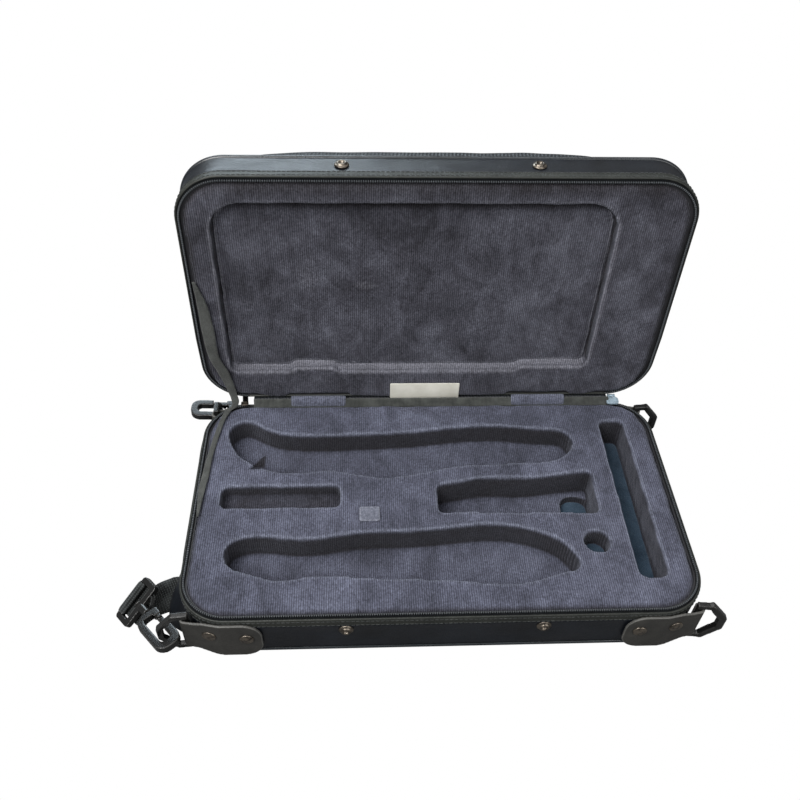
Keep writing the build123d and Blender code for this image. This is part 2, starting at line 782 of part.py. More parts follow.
# Shoulder strap webbing: round each frame's outer bar, flat along the left wall, in a hank behind the case
strap_left = -191.5
strap_right = strap_left + webbing_width
hank_low = bar_y + rear_hook_behind_bar - webbing_width / 2
hank_high = hank_low + webbing_width
outer_bar = frame_depth - frame_bar / 2 - (frame_depth - frame_bar - 7.1) / 2


def strap_wrap(place):
    """The webbing sewn round a frame's outer bar."""
    origin, along = hooks[place][:2]
    side = frame_sides[place]
    with BuildPart() as piece:
        with BuildSketch(Plane(origin=origin - along * outer_bar, x_dir=along, z_dir=side)):
            RectangleRounded(7.4, frame_bar + 0.4 + 2 * webbing, 2.4)
            RectangleRounded(7.4 - 2 * webbing, frame_bar + 0.4, 0.4, mode=Mode.SUBTRACT)
        extrude(amount=webbing_width / 2, both=True)
    return piece.part


def strap_lead(sections):
    """Webbing between cross-sections, each given by its centre, its width's direction and its run."""
    with BuildPart() as piece:
        for centre, wide, run in sections:
            with BuildSketch(Plane(origin=centre, x_dir=(wide - run * run.dot(wide)).normalized(), z_dir=run)):
                Rectangle(webbing_width, webbing)
        loft(ruled=True)
    return piece.part


floor_level = floor_clearance + webbing / 2
across_floor = Vector(0, 1, 0)
under_bar = frame_bar / 2 + 0.2 + webbing / 2
front_origin, front_along = hooks["front"][:2]
front_side = frame_sides["front"]
front_normal = front_along.cross(front_side)
front_end = Vector(strap_left + 4, -57, floor_level)
front_turn = front_origin + front_along * 2 - front_normal * (under_bar + 2.2)
front_run = (front_end - front_turn).normalized()
rear_origin, rear_along = hooks["rear"][:2]
rear_side = frame_sides["rear"]
rear_start = rear_origin - rear_along * (outer_bar + 3.0)
rear_end = Vector(hank_ends[0], (hank_low + hank_high) / 2, floor_level + (hank_layers - 1) * layer_pitch)
strap_ends = [
    strap_wrap("front"),
    strap_lead([
        (front_origin - front_along * outer_bar - front_normal * under_bar, front_side, front_along),
        (front_turn, front_side, front_along),
        (front_end, across_floor, front_run),
    ]),
    strap_wrap("rear"),
    strap_lead([
        (rear_start, rear_side, rear_along * -1),
        (rear_end, across_floor, (rear_end - rear_start).normalized()),
    ]),
]
with BuildPart() as strap_webbing:
    with BuildSketch(Plane.XY.offset(floor_clearance)):
        with BuildLine():
            Polyline((strap_left - 3.5, -70), (strap_right - 3.5, -70), (strap_right, -40),
                     (strap_right, hank_low), (hank_ends[0] + 1, hank_low), (hank_ends[0] + 1, hank_high),
                     (strap_left, hank_high), (strap_left, -40), close=True)
        make_face()
    extrude(amount=webbing)
    with BuildSketch(Plane(origin=(0, hank_low, 0), x_dir=(1, 0, 0), z_dir=(0, -1, 0))):
        for layer in range(hank_layers):
            z = floor_level + layer * layer_pitch
            with Locations(((hank_ends[0] + hank_ends[1]) / 2, z)):
                Rectangle(hank_ends[1] - hank_ends[0], webbing)
        for layer in range(hank_layers - 1):
            sign = 1 if layer % 2 == 0 else -1
            end = hank_ends[1] if sign > 0 else hank_ends[0]
            middle = floor_level + (layer + 0.5) * layer_pitch
            inner, outer = (layer_pitch - webbing) / 2, (layer_pitch + webbing) / 2
            with BuildLine():
                Line((end, middle - outer), (end, middle - inner))
                ThreePointArc((end, middle - inner), (end + sign * inner, middle), (end, middle + inner))
                Line((end, middle + inner), (end, middle + outer))
                ThreePointArc((end, middle + outer), (end + sign * outer, middle), (end, middle - outer))
            make_face()
    extrude(amount=-webbing_width)
    for end in strap_ends:
        add(end)
save(strap_webbing, "strap_webbing")
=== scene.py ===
import json
import math

import bmesh
import bpy
import numpy as np
from mathutils import Matrix, Vector


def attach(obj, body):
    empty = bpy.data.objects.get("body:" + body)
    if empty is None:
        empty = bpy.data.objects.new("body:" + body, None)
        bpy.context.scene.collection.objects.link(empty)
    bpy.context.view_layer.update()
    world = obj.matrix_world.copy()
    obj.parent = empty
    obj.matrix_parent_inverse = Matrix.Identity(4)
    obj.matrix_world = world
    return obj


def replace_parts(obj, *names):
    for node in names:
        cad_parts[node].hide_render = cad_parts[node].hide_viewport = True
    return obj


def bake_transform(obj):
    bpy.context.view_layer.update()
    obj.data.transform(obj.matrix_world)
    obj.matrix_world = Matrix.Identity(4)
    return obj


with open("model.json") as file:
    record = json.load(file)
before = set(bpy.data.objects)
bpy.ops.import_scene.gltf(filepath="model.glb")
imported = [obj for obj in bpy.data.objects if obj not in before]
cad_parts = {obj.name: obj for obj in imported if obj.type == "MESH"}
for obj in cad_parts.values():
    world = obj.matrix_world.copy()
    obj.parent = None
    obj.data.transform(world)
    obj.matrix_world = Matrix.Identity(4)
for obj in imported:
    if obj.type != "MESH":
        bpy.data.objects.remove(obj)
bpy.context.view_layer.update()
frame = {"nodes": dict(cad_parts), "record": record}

MM = 0.001
WIDTH, DEPTH, CORNER = 362.0, 200.0, 33.5
BASE_H, LID_H = 44.0, 33.0
BASE_RISE, LID_RISE = 3.2, 1.0
TURN = math.radians(92.0)
LID_UP = np.array((0.0, -math.cos(TURN), math.sin(TURN)))
LID_OUT = np.array((0.0, math.sin(TURN), math.cos(TURN)))
HINGE = np.array((0.0, 101.5, 45.5))
LID_CENTRE = HINGE + LID_UP * 101.5 + LID_OUT * 34.5
HEIGHT = {"base": BASE_H, "lid": LID_H}
RISE = {"base": BASE_RISE, "lid": LID_RISE}
# The lid's soft sides stand out a little, as a share of its width
LID_SWELL = 0.011
# How far toward the hinge the zip reaches, and how far the hinges are from the middle
ZIP_END = 86.0
HINGE_X = 91.0


# Places, outlines and meshes


def place(half, p):
    """Points in a half's own x, y and distance from its outer face, as row-frame millimetres."""
    p = np.asarray(p, float)
    if half == "base":
        return p
    wide = p[..., :1] * (1 + LID_SWELL * np.clip((p[..., 1:2] + 100) / 60, 0, 1))
    return LID_CENTRE + wide * np.array((1.0, 0, 0)) + p[..., 1:2] * LID_UP - p[..., 2:3] * LID_OUT


def local(half, p):
    """Row-frame millimetres as a half's own x, y and distance from its outer face."""
    if half == "base":
        return p.copy()
    q = p - LID_CENTRE
    return np.column_stack((q[:, 0], q @ LID_UP, -(q @ LID_OUT)))


def inset_of(x, y):
    """How far inside the outline points lie, in millimetres."""
    qx = np.abs(x) - (WIDTH / 2 - CORNER)
    qy = np.abs(y) - (DEPTH / 2 - CORNER)
    return CORNER - np.hypot(np.maximum(qx, 0), np.maximum(qy, 0)) - np.minimum(np.maximum(qx, qy), 0)


def zip_side(half, y):
    """One beside the zip and nought along the hinge."""
    side = 1 if half == "base" else -1
    return np.clip((ZIP_END - side * y) / 8, 0, 1)


def steps(points):
    """Distances along a shut line, from its first point round to itself."""
    d = np.linalg.norm(np.diff(np.vstack((points, points[:1])), axis=0), axis=1)
    return np.concatenate(([0], np.cumsum(d)))


def turn_to(half):
    """The rotation from a half's own axes to the row frame."""
    if half == "base":
        return np.eye(3)
    return np.column_stack(((1.0, 0, 0), LID_UP, -LID_OUT))


def outline(inset, half="base", straight=24, arc=14):
    """The rounded outline from the hinge side round to itself: points, outward normals and arc lengths."""
    w, d = WIDTH / 2 - inset, DEPTH / 2 - inset
    r = max(CORNER - inset, 3.0)
    pts, nrm = [], []
    corners = [(-1, 1, 90), (-1, -1, 180), (1, -1, 270), (1, 1, 0)]

    def run(a, b, n, direction):
        for t in np.linspace(0, 1, n, endpoint=False):
            pts.append((a[0] + (b[0] - a[0]) * t, a[1] + (b[1] - a[1]) * t))
            nrm.append(direction)

    at = (0.0, d)
    for sx, sy, start in corners:
        c = (sx * (w - r), sy * (d - r))
        a0 = math.radians(start)
        to = (c[0] + r * math.cos(a0), c[1] + r * math.sin(a0))
        n = straight // 2 if at == (0.0, d) else straight
        run(at, to, n, (math.cos(a0), math.sin(a0)))
        for t in np.linspace(0, math.pi / 2, arc, endpoint=False):
            pts.append((c[0] + r * math.cos(a0 + t), c[1] + r * math.sin(a0 + t)))
            nrm.append((math.cos(a0 + t), math.sin(a0 + t)))
        a1 = a0 + math.pi / 2
        at = (c[0] + r * math.cos(a1), c[1] + r * math.sin(a1))
    run(at, (0.0, d), straight // 2, (0.0, 1.0))
    pts, nrm = np.array(pts), np.array(nrm)
    if half == "lid":
        pts, nrm = -pts, -nrm
    return pts, nrm, steps(pts)


def link(obj, body):
    """Adds an object to the scene, riding on a body where it has one."""
    bpy.context.scene.collection.objects.link(obj)
    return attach(obj, body) if body else obj


def outward(mesh):
    """Turns a shut mesh's faces outward."""
    bm = bmesh.new()
    bm.from_mesh(mesh)
    bmesh.ops.recalc_face_normals(bm, faces=bm.faces)
    bm.to_mesh(mesh)
    bm.free()


def shade_smooth(mesh):
    mesh.polygons.foreach_set("use_smooth", [True] * len(mesh.polygons))


def closed(name, points, faces, uvs, material, body, slot=None):
    """A closed mesh from row-frame millimetre points, with a UV map in millimetres."""
    mesh = bpy.data.meshes.new(name)
    mesh.from_pydata((points * MM).tolist(), [], faces)
    layer = mesh.uv_layers.new(name="UVMap")
    layer.data.foreach_set("uv", np.asarray(uvs, np.float32).ravel())
    outward(mesh)
    shade_smooth(mesh)
    mesh.materials.append(material)
    obj = bpy.data.objects.new(name, mesh)
    link(obj, body)
    return obj


def grid(name, P, U, V, round_u, material, body, slot=None):
    """A tube over rows of points, each row a shut loop; its ends are shut where it doesn't come round."""
    P = np.asarray(P, float)
    nu, nv = P.shape[:2]
    faces, uvs = [], []
    for i in range(nu if round_u else nu - 1):
        for j in range(nv):
            a, b = (i + 1) % nu, (j + 1) % nv
            faces.append((i * nv + j, a * nv + j, a * nv + b, i * nv + b))
            uvs += [(U[i], V[j]), (U[i + 1], V[j]), (U[i + 1], V[j + 1]), (U[i], V[j + 1])]
    if not round_u:
        for row in (0, nu - 1):
            faces.append(tuple(row * nv + j for j in range(nv)))
            uvs += [(U[row], V[j]) for j in range(nv)]
    return closed(name, P.reshape(-1, 3), faces, uvs, material, body, slot)


def band(name, half, profile, material, slot, shape=None, span=None):
    """A closed profile of (inset, distance) carried round the outline, or along the part that span keeps."""
    profile = np.asarray(profile, float)
    base_pts, nrm, length = outline(0.0, half, 60, 26)
    order = np.arange(len(base_pts))
    if span is not None:
        keep = span(base_pts)
        first = int(np.argmax(keep & ~np.roll(keep, 1)))
        order = np.roll(order, -first)[: keep.sum()]
    P = np.zeros((len(order), len(profile), 3))
    for j, (inset, d) in enumerate(profile):
        P[:, j, :2] = base_pts[order] - nrm[order] * inset
        P[:, j, 2] = d
    if shape is not None:
        P = shape(P, nrm[order])
    U = length if span is None else length[order]
    return grid(name, place(half, P), U, steps(profile), span is None, material, half, slot)


def noise3(p, scale, seed=0, octaves=3):
    """Smooth noise over millimetre points, from sums of turned sine waves, about -1 to 1."""
    r = np.random.default_rng(seed)
    total = np.zeros(p.shape[:-1])
    for o in range(octaves):
        for k in range(5):
            d = r.normal(size=3)
            d /= np.linalg.norm(d)
            f = 2 * math.pi / scale * (1.7 ** o) * r.uniform(0.7, 1.4)
            total += np.sin(p @ d * f + r.uniform(0, 6.28)) / (5 * 0.55 * 1.6 ** o)
    return np.clip(total, -1.6, 1.6)


def modify(obj, kind, **settings):
    m = obj.modifiers.new(kind.lower(), kind)
    for name, value in settings.items():
        setattr(m, name, value)


def from_cad(node, name, material, voxel=None, smooth=0, shape=None, bevel=None, deep=None):
    """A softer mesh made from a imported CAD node's own shape."""
    src = frame["nodes"][node]
    mesh = src.data.copy()
    mesh.transform(src.matrix_world)
    mesh.name = name
    mesh.materials.clear()
    bm = bmesh.new()
    bm.from_mesh(mesh)
    bmesh.ops.remove_doubles(bm, verts=bm.verts, dist=1e-6)
    if bevel:
        bmesh.ops.dissolve_limit(bm, angle_limit=math.radians(3), verts=bm.verts, edges=bm.edges)
    bm.to_mesh(mesh)
    bm.free()
    obj = bpy.data.objects.new(mesh.name, mesh)
    bpy.context.scene.collection.objects.link(obj)
    if voxel:
        modify(obj, "REMESH", mode="VOXEL", voxel_size=voxel * MM, use_smooth_shade=True)
    if bevel:
        modify(obj, "BEVEL", width=bevel * MM, segments=2, limit_method="ANGLE", angle_limit=math.radians(35))
    if smooth:
        modify(obj, "SMOOTH", factor=0.5, iterations=smooth)
    bpy.context.view_layer.update()
    dg = bpy.context.evaluated_depsgraph_get()
    out = bpy.data.meshes.new_from_object(obj.evaluated_get(dg))
    obj.modifiers.clear()
    obj.data = out
    out.name = mesh.name
    if shape is not None:
        co, no = surface(out)
        out.vertices.foreach_set("co", (shape(co / MM, no) * MM).ravel())
        out.update()
    edge_attribute(out)
    # Painted shade for the plush parts, stored for their material.
    if deep:
        store_painted_shade(out, *deep)
    shade_smooth(out)
    out.materials.clear()
    out.materials.append(material)
    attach(obj, body_of_node(node))
    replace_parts(obj, node)
    return obj


def body_of_node(node):
    for body, names in frame["record"]["behaviour"]["bodies"].items():
        if node in names:
            return body
    raise KeyError(node)


def surface(mesh):
    """A mesh's points, in metres, and its vertex normals."""
    co, no = np.empty(3 * len(mesh.vertices)), np.empty(3 * len(mesh.vertices))
    mesh.vertices.foreach_get("co", co)
    mesh.vertex_normals.foreach_get("vector", no)
    return co.reshape(-1, 3), no.reshape(-1, 3)


def store(mesh, name, value):
    """Keeps a number for each vertex, which a material reads by its name."""
    layer = mesh.attributes.get(name) or mesh.attributes.new(name, "FLOAT", "POINT")
    layer.data.foreach_set("value", value.astype(np.float32))


def store_painted_shade(mesh, half, top, fade=3.0, pits=None):
    """Stores painted shade by depth: less on floors, more on walls and next to the zip; also sets where edges
    get painted light.
    """
    co, no = surface(mesh)
    p = local(half, co / MM)
    up = no[:, 2] if half == "base" else -(no @ LID_OUT)
    down = np.clip((top - p[:, 2]) / fade, 0, 1)
    value = down * (0.16 + 0.84 * np.clip((0.86 - up) / 0.3, 0, 1))
    # On the lid, faces that face up get less painted shade.
    if half == "lid":
        value *= np.clip(1 - 2 * np.clip(no @ LID_UP, 0, 1), 0, 1)
    inset = inset_of(p[:, 0], p[:, 1])
    # Painted shade next to the zip, where the teeth and tape shade the plush.
    value = np.maximum(value, np.clip((7.5 - inset) / 3.3, 0, 1) * zip_side(half, p[:, 1]))
    # On the lid, painted shade along the border by the zip at the top, where light from above is blocked.
    if half == "lid":
        value = np.maximum(value, 0.85 * np.clip((p[:, 1] - 83) / 13, 0, 1))
    if pits is not None:
        value = np.maximum(value, pits(p))
    store(mesh, "deep", value)
    edge = np.empty(len(p))
    mesh.attributes["edge"].data.foreach_get("value", edge)
    # No light rims next to the zip, where the painted shade lies.
    edge = np.where(edge > 0, edge * np.clip((inset - 7) / 4, 0, 1), edge)
    # On the lid, up-facing faces below the top get a painted highlight.
    if half == "lid":
        edge = np.maximum(edge, 0.25 * np.clip(2 * (no @ LID_UP) - 0.4, 0, 1) * down * (inset > 12))
    store(mesh, "edge", edge)


def edge_attribute(mesh):
    """Stores how convex each vertex is, so that materials can paint highlights and wear on convex edges and
    painted shade in hollows.
    """
    co, no = surface(mesh)
    n = len(co)
    e = np.empty(len(mesh.edges) * 2, int)
    mesh.edges.foreach_get("vertices", e)
    e = e.reshape(-1, 2)
    value = np.zeros(n)
    d = co[e[:, 1]] - co[e[:, 0]]
    length = np.linalg.norm(d, axis=1) + 1e-9
    bend = np.einsum("ij,ij->i", d, no[e[:, 1]] - no[e[:, 0]]) / length ** 2
    count = np.zeros(n)
    for k in (0, 1):
        np.add.at(value, e[:, k], bend)
        np.add.at(count, e[:, k], 1)
    value = value / np.maximum(count, 1) * MM
    for _ in range(2):
        s = np.zeros(n)
        np.add.at(s, e[:, 0], value[e[:, 1]])
        np.add.at(s, e[:, 1], value[e[:, 0]])
        value = 0.5 * value + 0.5 * s / np.maximum(count, 1)
    store(mesh, "edge", value)


# Materials


# The wave texture's scale times its period
BAND = math.pi / 10


class Nodes:
    """Short calls for building a node material."""

    def __init__(self, name):
        self.mat = bpy.data.materials.new(name)
        self.mat.use_nodes = True
        self.tree = self.mat.node_tree
        self.tree.nodes.clear()
        self.out = self.tree.nodes.new("ShaderNodeOutputMaterial")
        self.bsdf = self.tree.nodes.new("ShaderNodeBsdfPrincipled")
        self.join(self.bsdf.outputs[0], self.out.inputs[0])

    def new(self, kind, **props):
        n = self.tree.nodes.new("ShaderNode" + kind)
        for k, v in props.items():
            setattr(n, k, v)
        return n

    def join(self, a, b):
        self.tree.links.new(a, b)

    def feed(self, socket, value):
        if isinstance(value, bpy.types.NodeSocket):
            self.join(value, socket)
        else:
            socket.default_value = value

    def coords(self, uv=False, scale=(1, 1, 1)):
        c = self.new("TexCoord").outputs["UV" if uv else "Object"]
        m = self.new("Mapping")
        m.inputs["Scale"].default_value = scale
        self.join(c, m.inputs["Vector"])
        return m.outputs[0]

    def texture(self, kind, vector, output, values, **props):
        n = self.new(kind, **props)
        self.join(vector, n.inputs["Vector"])
        for name, value in values.items():
            n.inputs[name].default_value = value
        return n.outputs[output]

    def noise(self, vector, scale, detail=3.0, rough=0.55, distortion=0.0):
        values = {"Scale": scale, "Detail": detail, "Roughness": rough, "Distortion": distortion}
        return self.texture("TexNoise", vector, "Fac", values)

    def wave(self, vector, scale, axis="X", distortion=0.0, detail=0.0):
        values = {"Scale": scale, "Distortion": distortion, "Detail": detail}
        return self.texture("TexWave", vector, "Fac", values, bands_direction=axis)

    def cells(self, vector, scale):
        return self.texture("TexVoronoi", vector, "Distance", {"Scale": scale})

    def math(self, op, a, b=0.0, clamp=False):
        n = self.new("Math", operation=op)
        n.use_clamp = clamp
        self.feed(n.inputs[0], a)
        self.feed(n.inputs[1], b)
        return n.outputs[0]

    def mul(self, a, b, clamp=False):
        return self.math("MULTIPLY", a, b, clamp)

    def add(self, a, b):
        return self.math("ADD", a, b)

    def ramp(self, value, stops):
        n = self.new("ValToRGB")
        self.join(value, n.inputs[0])
        r = n.color_ramp
        while len(r.elements) < len(stops):
            r.elements.new(0.5)
        for e, (p, c) in zip(r.elements, stops):
            e.position = p
            e.color = (*c, 1)
        return n.outputs[0]

    def mask(self, value, low, high, most=1.0):
        return self.ramp(value, [(low, (0, 0, 0)), (high, (most, most, most))])

    def mix(self, factor, a, b):
        n = self.new("Mix", data_type="RGBA")
        self.feed(n.inputs[0], factor)
        for i, v in ((6, a), (7, b)):
            if isinstance(v, tuple):
                n.inputs[i].default_value = (*v, 1)
            else:
                self.join(v, n.inputs[i])
        return n.outputs[2]

    def attribute(self, name):
        return self.new("Attribute", attribute_name=name).outputs["Fac"]

    def times(self, color, factor):
        n = self.new("VectorMath", operation="SCALE")
        self.join(color, n.inputs[0])
        self.feed(n.inputs["Scale"], factor)
        return n.outputs[0]

    def spot(self, centre, reach):
        """One at a centre and nought beyond a reach in each direction, in millimetres."""
        m = self.new("Mapping")
        self.join(self.new("TexCoord").outputs["Object"], m.inputs["Vector"])
        m.inputs["Scale"].default_value = tuple(1 / (r * MM) for r in reach)
        m.inputs["Location"].default_value = tuple(-c / r for c, r in zip(centre, reach))
        g = self.new("TexGradient", gradient_type="SPHERICAL")
        self.join(m.outputs[0], g.inputs[0])
        return g.outputs["Fac"]

    def bump(self, height, strength, distance, under=None):
        n = self.new("Bump")
        self.join(height, n.inputs["Height"])
        n.inputs["Strength"].default_value = strength
        n.inputs["Distance"].default_value = distance
        if under is not None:
            self.join(under, n.inputs["Normal"])
        return n.outputs[0]

    def set(self, **inputs):
        names = {"color": "Base Color", "rough": "Roughness", "normal": "Normal", "metal": "Metallic",
                 "sheen": "Sheen Weight", "sheen_rough": "Sheen Roughness", "sheen_tint": "Sheen Tint",
                 "spec": "Specular IOR Level", "coat": "Coat Weight", "coat_rough": "Coat Roughness"}
        for k, v in inputs.items():
            socket = self.bsdf.inputs[names[k]]
            if isinstance(v, tuple) and len(v) == 3:
                v = (*v, 1)
            self.feed(socket, v)
        return self.mat


def plush(name, dark, mid, light, rim, marks=(), rib=0.00155, lit=0.3):
    """Ribbed plush with crushed patches, light rims (partly worn pile, partly painted highlight) and painted
    shade on walls and in hollows; marks are lighter worn spots.
    """
    m = Nodes(name)
    at = m.coords()
    ribs = m.wave(at, BAND / rib, "X", 1.5, 1.5)
    patch = m.noise(at, 22, 5, 0.62, 0.7)
    crush = m.noise(m.coords(scale=(1, 0.6, 0.6)), 70, 4, 0.68, 0.6)
    tuft = m.noise(at, 560, 2, 0.75)
    fibre = m.noise(at, 1500, 2, 0.7)
    base = m.ramp(m.add(m.mul(patch, 0.55), m.mul(crush, 0.45)),
                  [(0.37, dark), (0.5, mid), (0.63, light)])
    for centre, reach in marks:
        worn = m.mul(m.spot(centre, reach), 0.9, True)
        base = m.mix(m.mul(worn, tuft), base, rim)
    # Light rims on convex edges: partly worn pile, partly painted highlight.
    edge = m.mask(m.attribute("edge"), 0.04, 0.22)
    base = m.mix(m.mul(edge, lit), base, rim)
    # Painted shade, stored per vertex, turns walls and places by the zip a near-black brown.
    base = m.mix(m.mul(m.attribute("deep"), 0.86, True), base, (0.0165, 0.0145, 0.0145))
    base = m.times(base, m.add(m.mul(ribs, 0.62), 0.62))
    base = m.times(base, m.add(m.mul(tuft, 1.9), 0.06))
    # Painted shade in concave hollows.
    hollow_shade = m.mask(m.mul(m.attribute("edge"), -1.0), 0.03, 0.2)
    base = m.mix(m.mul(hollow_shade, 0.35), base, tuple(c * 0.25 for c in dark))
    normal = m.bump(ribs, 0.6, 0.0006)
    normal = m.bump(fibre, 0.5, 0.0005, normal)
    normal = m.bump(crush, 0.45, 0.0025, normal)
    return m.set(color=base, rough=0.95, normal=normal, sheen=0.22, sheen_rough=0.4, spec=0.1,
                 sheen_tint=(0.62, 0.66, 0.8))


def coated(name, dark, light, weave=None, gloss=0.42, grain=0.35, shine=0.4):
    """Coated cloth or leathercloth; weave is a pitch in the UV map's millimetres."""
    m = Nodes(name)
    at = m.coords()
    cloud = m.noise(at, 30, 4, 0.6)
    fine = m.cells(at, 1100)
    scuff = m.noise(at, 160, 5, 0.75, 0.6)
    streak = m.noise(m.coords(scale=(0.15, 1, 1)), 90, 4, 0.7, 0.4)
    color = m.ramp(cloud, [(0.3, dark), (0.7, light)])
    color = m.mix(m.mask(scuff, 0.6, 0.8, 0.3), color,
                  tuple(min(c * 2.2, 1) for c in light))
    normal = m.bump(fine, grain, 0.0003)
    normal = m.bump(cloud, 0.25, 0.003, normal)
    if weave:
        uv = m.coords(True)
        twill = m.wave(uv, BAND / weave, "DIAGONAL")
        cross = m.wave(uv, BAND / weave / 1.4, "Y")
        both = m.mul(twill, m.add(m.mul(cross, 0.4), 0.6))
        normal = m.bump(both, 0.8, 0.0005, normal)
        gap = m.mul(m.math("SUBTRACT", 1.0, both), 0.55)
        color = m.mix(gap, color, tuple(c * 0.3 for c in dark))
    rough = m.add(m.mul(m.add(scuff, streak), 0.2), gloss - 0.16)
    return m.set(color=color, rough=rough, normal=normal, spec=shine)


def leather_material():
    m = Nodes("corner_leather")
    at = m.coords()
    cloud = m.noise(at, 45, 5, 0.65, 0.3)
    pores = m.cells(at, 900)
    crease = m.noise(at, 140, 6, 0.7, 1.2)
    color = m.ramp(cloud, [(0.3, (0.018, 0.0175, 0.016)), (0.55, (0.03, 0.029, 0.026)),
                           (0.75, (0.046, 0.044, 0.039))])
    # Lighter convex edges: partly the leather's paler bevelled edges, partly a painted highlight.
    edge = m.mask(m.attribute("edge"), 0.15, 0.6)
    color = m.mix(m.mul(edge, 0.55), color, (0.13, 0.128, 0.12))
    normal = m.bump(pores, 0.4, 0.0003)
    normal = m.bump(crease, 0.35, 0.0007, normal)
    rough = m.ramp(crease, [(0.3, (0.42, 0.42, 0.42)), (0.7, (0.62, 0.62, 0.62))])
    return m.set(color=color, rough=rough, normal=normal, spec=0.45)


def plastic(name, color, gloss=0.3, edge_highlight=(0.2, 0.22, 0.23)):
    m = Nodes(name)
    at = m.coords()
    cloud = m.noise(at, 90, 4, 0.6)
    scratch = m.noise(m.coords(scale=(1, 6, 1)), 320, 5, 0.8, 1.5)
    base = m.mix(m.mask(cloud, 0.35, 0.75), color, tuple(min(1, c * 1.9) for c in color))
    # Painted highlight along convex edges.
    edge = m.mask(m.attribute("edge"), 0.15, 0.8)
    base = m.mix(m.mul(edge, 0.25), base, edge_highlight)
    rough = m.add(m.mul(scratch, 0.28), gloss - 0.1)
    normal = m.bump(scratch, 0.12, 0.0002)
    normal = m.bump(m.noise(at, 900, 2), 0.12, 0.0002, normal)
    return m.set(color=base, rough=rough, normal=normal, spec=0.5)


def metal(name, bright, dark, rough=0.35, tarnish=0.5, bare=0.9):
    m = Nodes(name)
    at = m.coords()
    cloud = m.noise(at, 260, 5, 0.7, 0.5)
    pits = m.cells(at, 1500)
    color = m.ramp(cloud, [(0.35, dark), (0.35 + tarnish * 0.4, bright)])
    r = m.add(m.mul(cloud, 0.35), rough - 0.15)
    normal = m.bump(pits, 0.2, 0.0002)
    return m.set(color=color, rough=r, normal=normal, metal=bare, spec=0.5)


def woven(name, dark, light, pitch_u, pitch_v, depth=0.9, shine=0.2):
    """Woven tape or webbing, with ribs across and along, on the UV map's millimetres."""
    m = Nodes(name)
    uv = m.coords(True)
    a = m.wave(uv, BAND / pitch_u, "X", 0.5, 1.0)
    b = m.wave(uv, BAND / pitch_v, "Y")
    both = m.mul(a, b)
    either = m.math("MAXIMUM", both, m.mul(a, 0.35))
    cloud = m.noise(m.coords(), 120, 4, 0.6)
    fuzz = m.noise(m.coords(), 2200, 2, 0.7)
    color = m.mix(either, dark, light)
    color = m.mix(m.mask(cloud, 0.4, 0.8, 0.5), color, tuple(c * 1.6 for c in light))
    normal = m.bump(either, depth, 0.0005)
    normal = m.bump(fuzz, 0.4, 0.0003, normal)
    return m.set(color=color, rough=0.85, normal=normal, sheen=shine * 0.75, spec=shine)


def felt_material():
    m = Nodes("blue_felt")
    at = m.coords()
    cloud = m.noise(at, 70, 4, 0.65)
    fuzz = m.noise(at, 1300, 3, 0.75)
    color = m.ramp(cloud, [(0.3, (0.013, 0.027, 0.046)), (0.7, (0.034, 0.06, 0.092))])
    color = m.mix(m.mask(fuzz, 0.5, 0.8, 0.6), color, (0.075, 0.125, 0.17))
    return m.set(color=color, rough=0.95, normal=m.bump(fuzz, 0.7, 0.0006), sheen=0.3, spec=0.1)


def plate_material():
    m = Nodes("plate_face")
    at = m.coords()
    brushed = m.noise(m.coords(scale=(1, 30, 30)), 60, 4, 0.7)
    cloud = m.noise(at, 90, 3)
    color = m.ramp(cloud, [(0.3, (0.62, 0.605, 0.53)), (0.7, (0.75, 0.735, 0.66))])
    rough = m.add(m.mul(brushed, 0.3), 0.28)
    return m.set(color=color, rough=rough, normal=m.bump(brushed, 0.15, 0.0001), metal=0.25)


PLUSH_BASE = plush("plush_base", (0.044, 0.0465, 0.063), (0.074, 0.078, 0.107), (0.106, 0.113, 0.154),
                   (0.2, 0.215, 0.27))
# The lid's plush is a darker copy of the base's: partly its own darker pile, partly painted shade for how the
# lid is lit, with stronger painted rim highlights.
PLUSH_LID_SHADED = plush("plush_lid", (0.031, 0.0305, 0.037), (0.06, 0.06, 0.074), (0.096, 0.098, 0.12),
                  (0.2, 0.2, 0.23), [((-52, 122, 154), (13, 14, 5)), ((-95, 126, 160), (16, 14, 30))],
                  lit=0.55)
LOOPS = plush("touch_loops", (0.085, 0.09, 0.115), (0.14, 0.148, 0.185), (0.2, 0.21, 0.26),
              (0.3, 0.31, 0.36), rib=0.0009)
SIDE = coated("side_cloth", (0.003, 0.0036, 0.005), (0.008, 0.01, 0.014), None, 0.34, 0.22, 0.34)
TWILL = coated("pocket_twill", (0.012, 0.014, 0.017), (0.03, 0.035, 0.04), 1.3, 0.5, 0.2)
VINYL = coated("piping_vinyl", (0.008, 0.01, 0.012), (0.018, 0.022, 0.026), None, 0.25, 0.15, 0.6)
BINDING = coated("rim_binding", (0.012, 0.0135, 0.012), (0.027, 0.029, 0.025), None, 0.45, 0.4, 0.3)
TAPE = woven("zip_tape_weave", (0.002, 0.0025, 0.003), (0.007, 0.008, 0.009), 0.9, 0.9, 0.9, 0.05)
RIBBON = woven("ribbon_weave", (0.018, 0.02, 0.018), (0.075, 0.079, 0.073), 1.1, 1.1)
WEBBING = woven("strap_weave", (0.002, 0.0025, 0.0025), (0.05, 0.055, 0.055), 1.9, 1.6, 1.0)
TEETH = plastic("zip_teeth_plastic", (0.012, 0.0135, 0.015), 0.3, (0.14, 0.155, 0.17))
PLASTIC = plastic("black_plastic", (0.0045, 0.0045, 0.0045), 0.2, (0.07, 0.068, 0.062))
THREAD = woven("thread", (0.02, 0.022, 0.022), (0.06, 0.064, 0.06), 0.6, 0.6)
LEATHER = leather_material()
BRASS = metal("aged_brass", (0.2, 0.172, 0.14), (0.035, 0.03, 0.027), 0.3)
STEEL = metal("hinge_steel", (0.1, 0.1, 0.1), (0.03, 0.03, 0.03), 0.45)
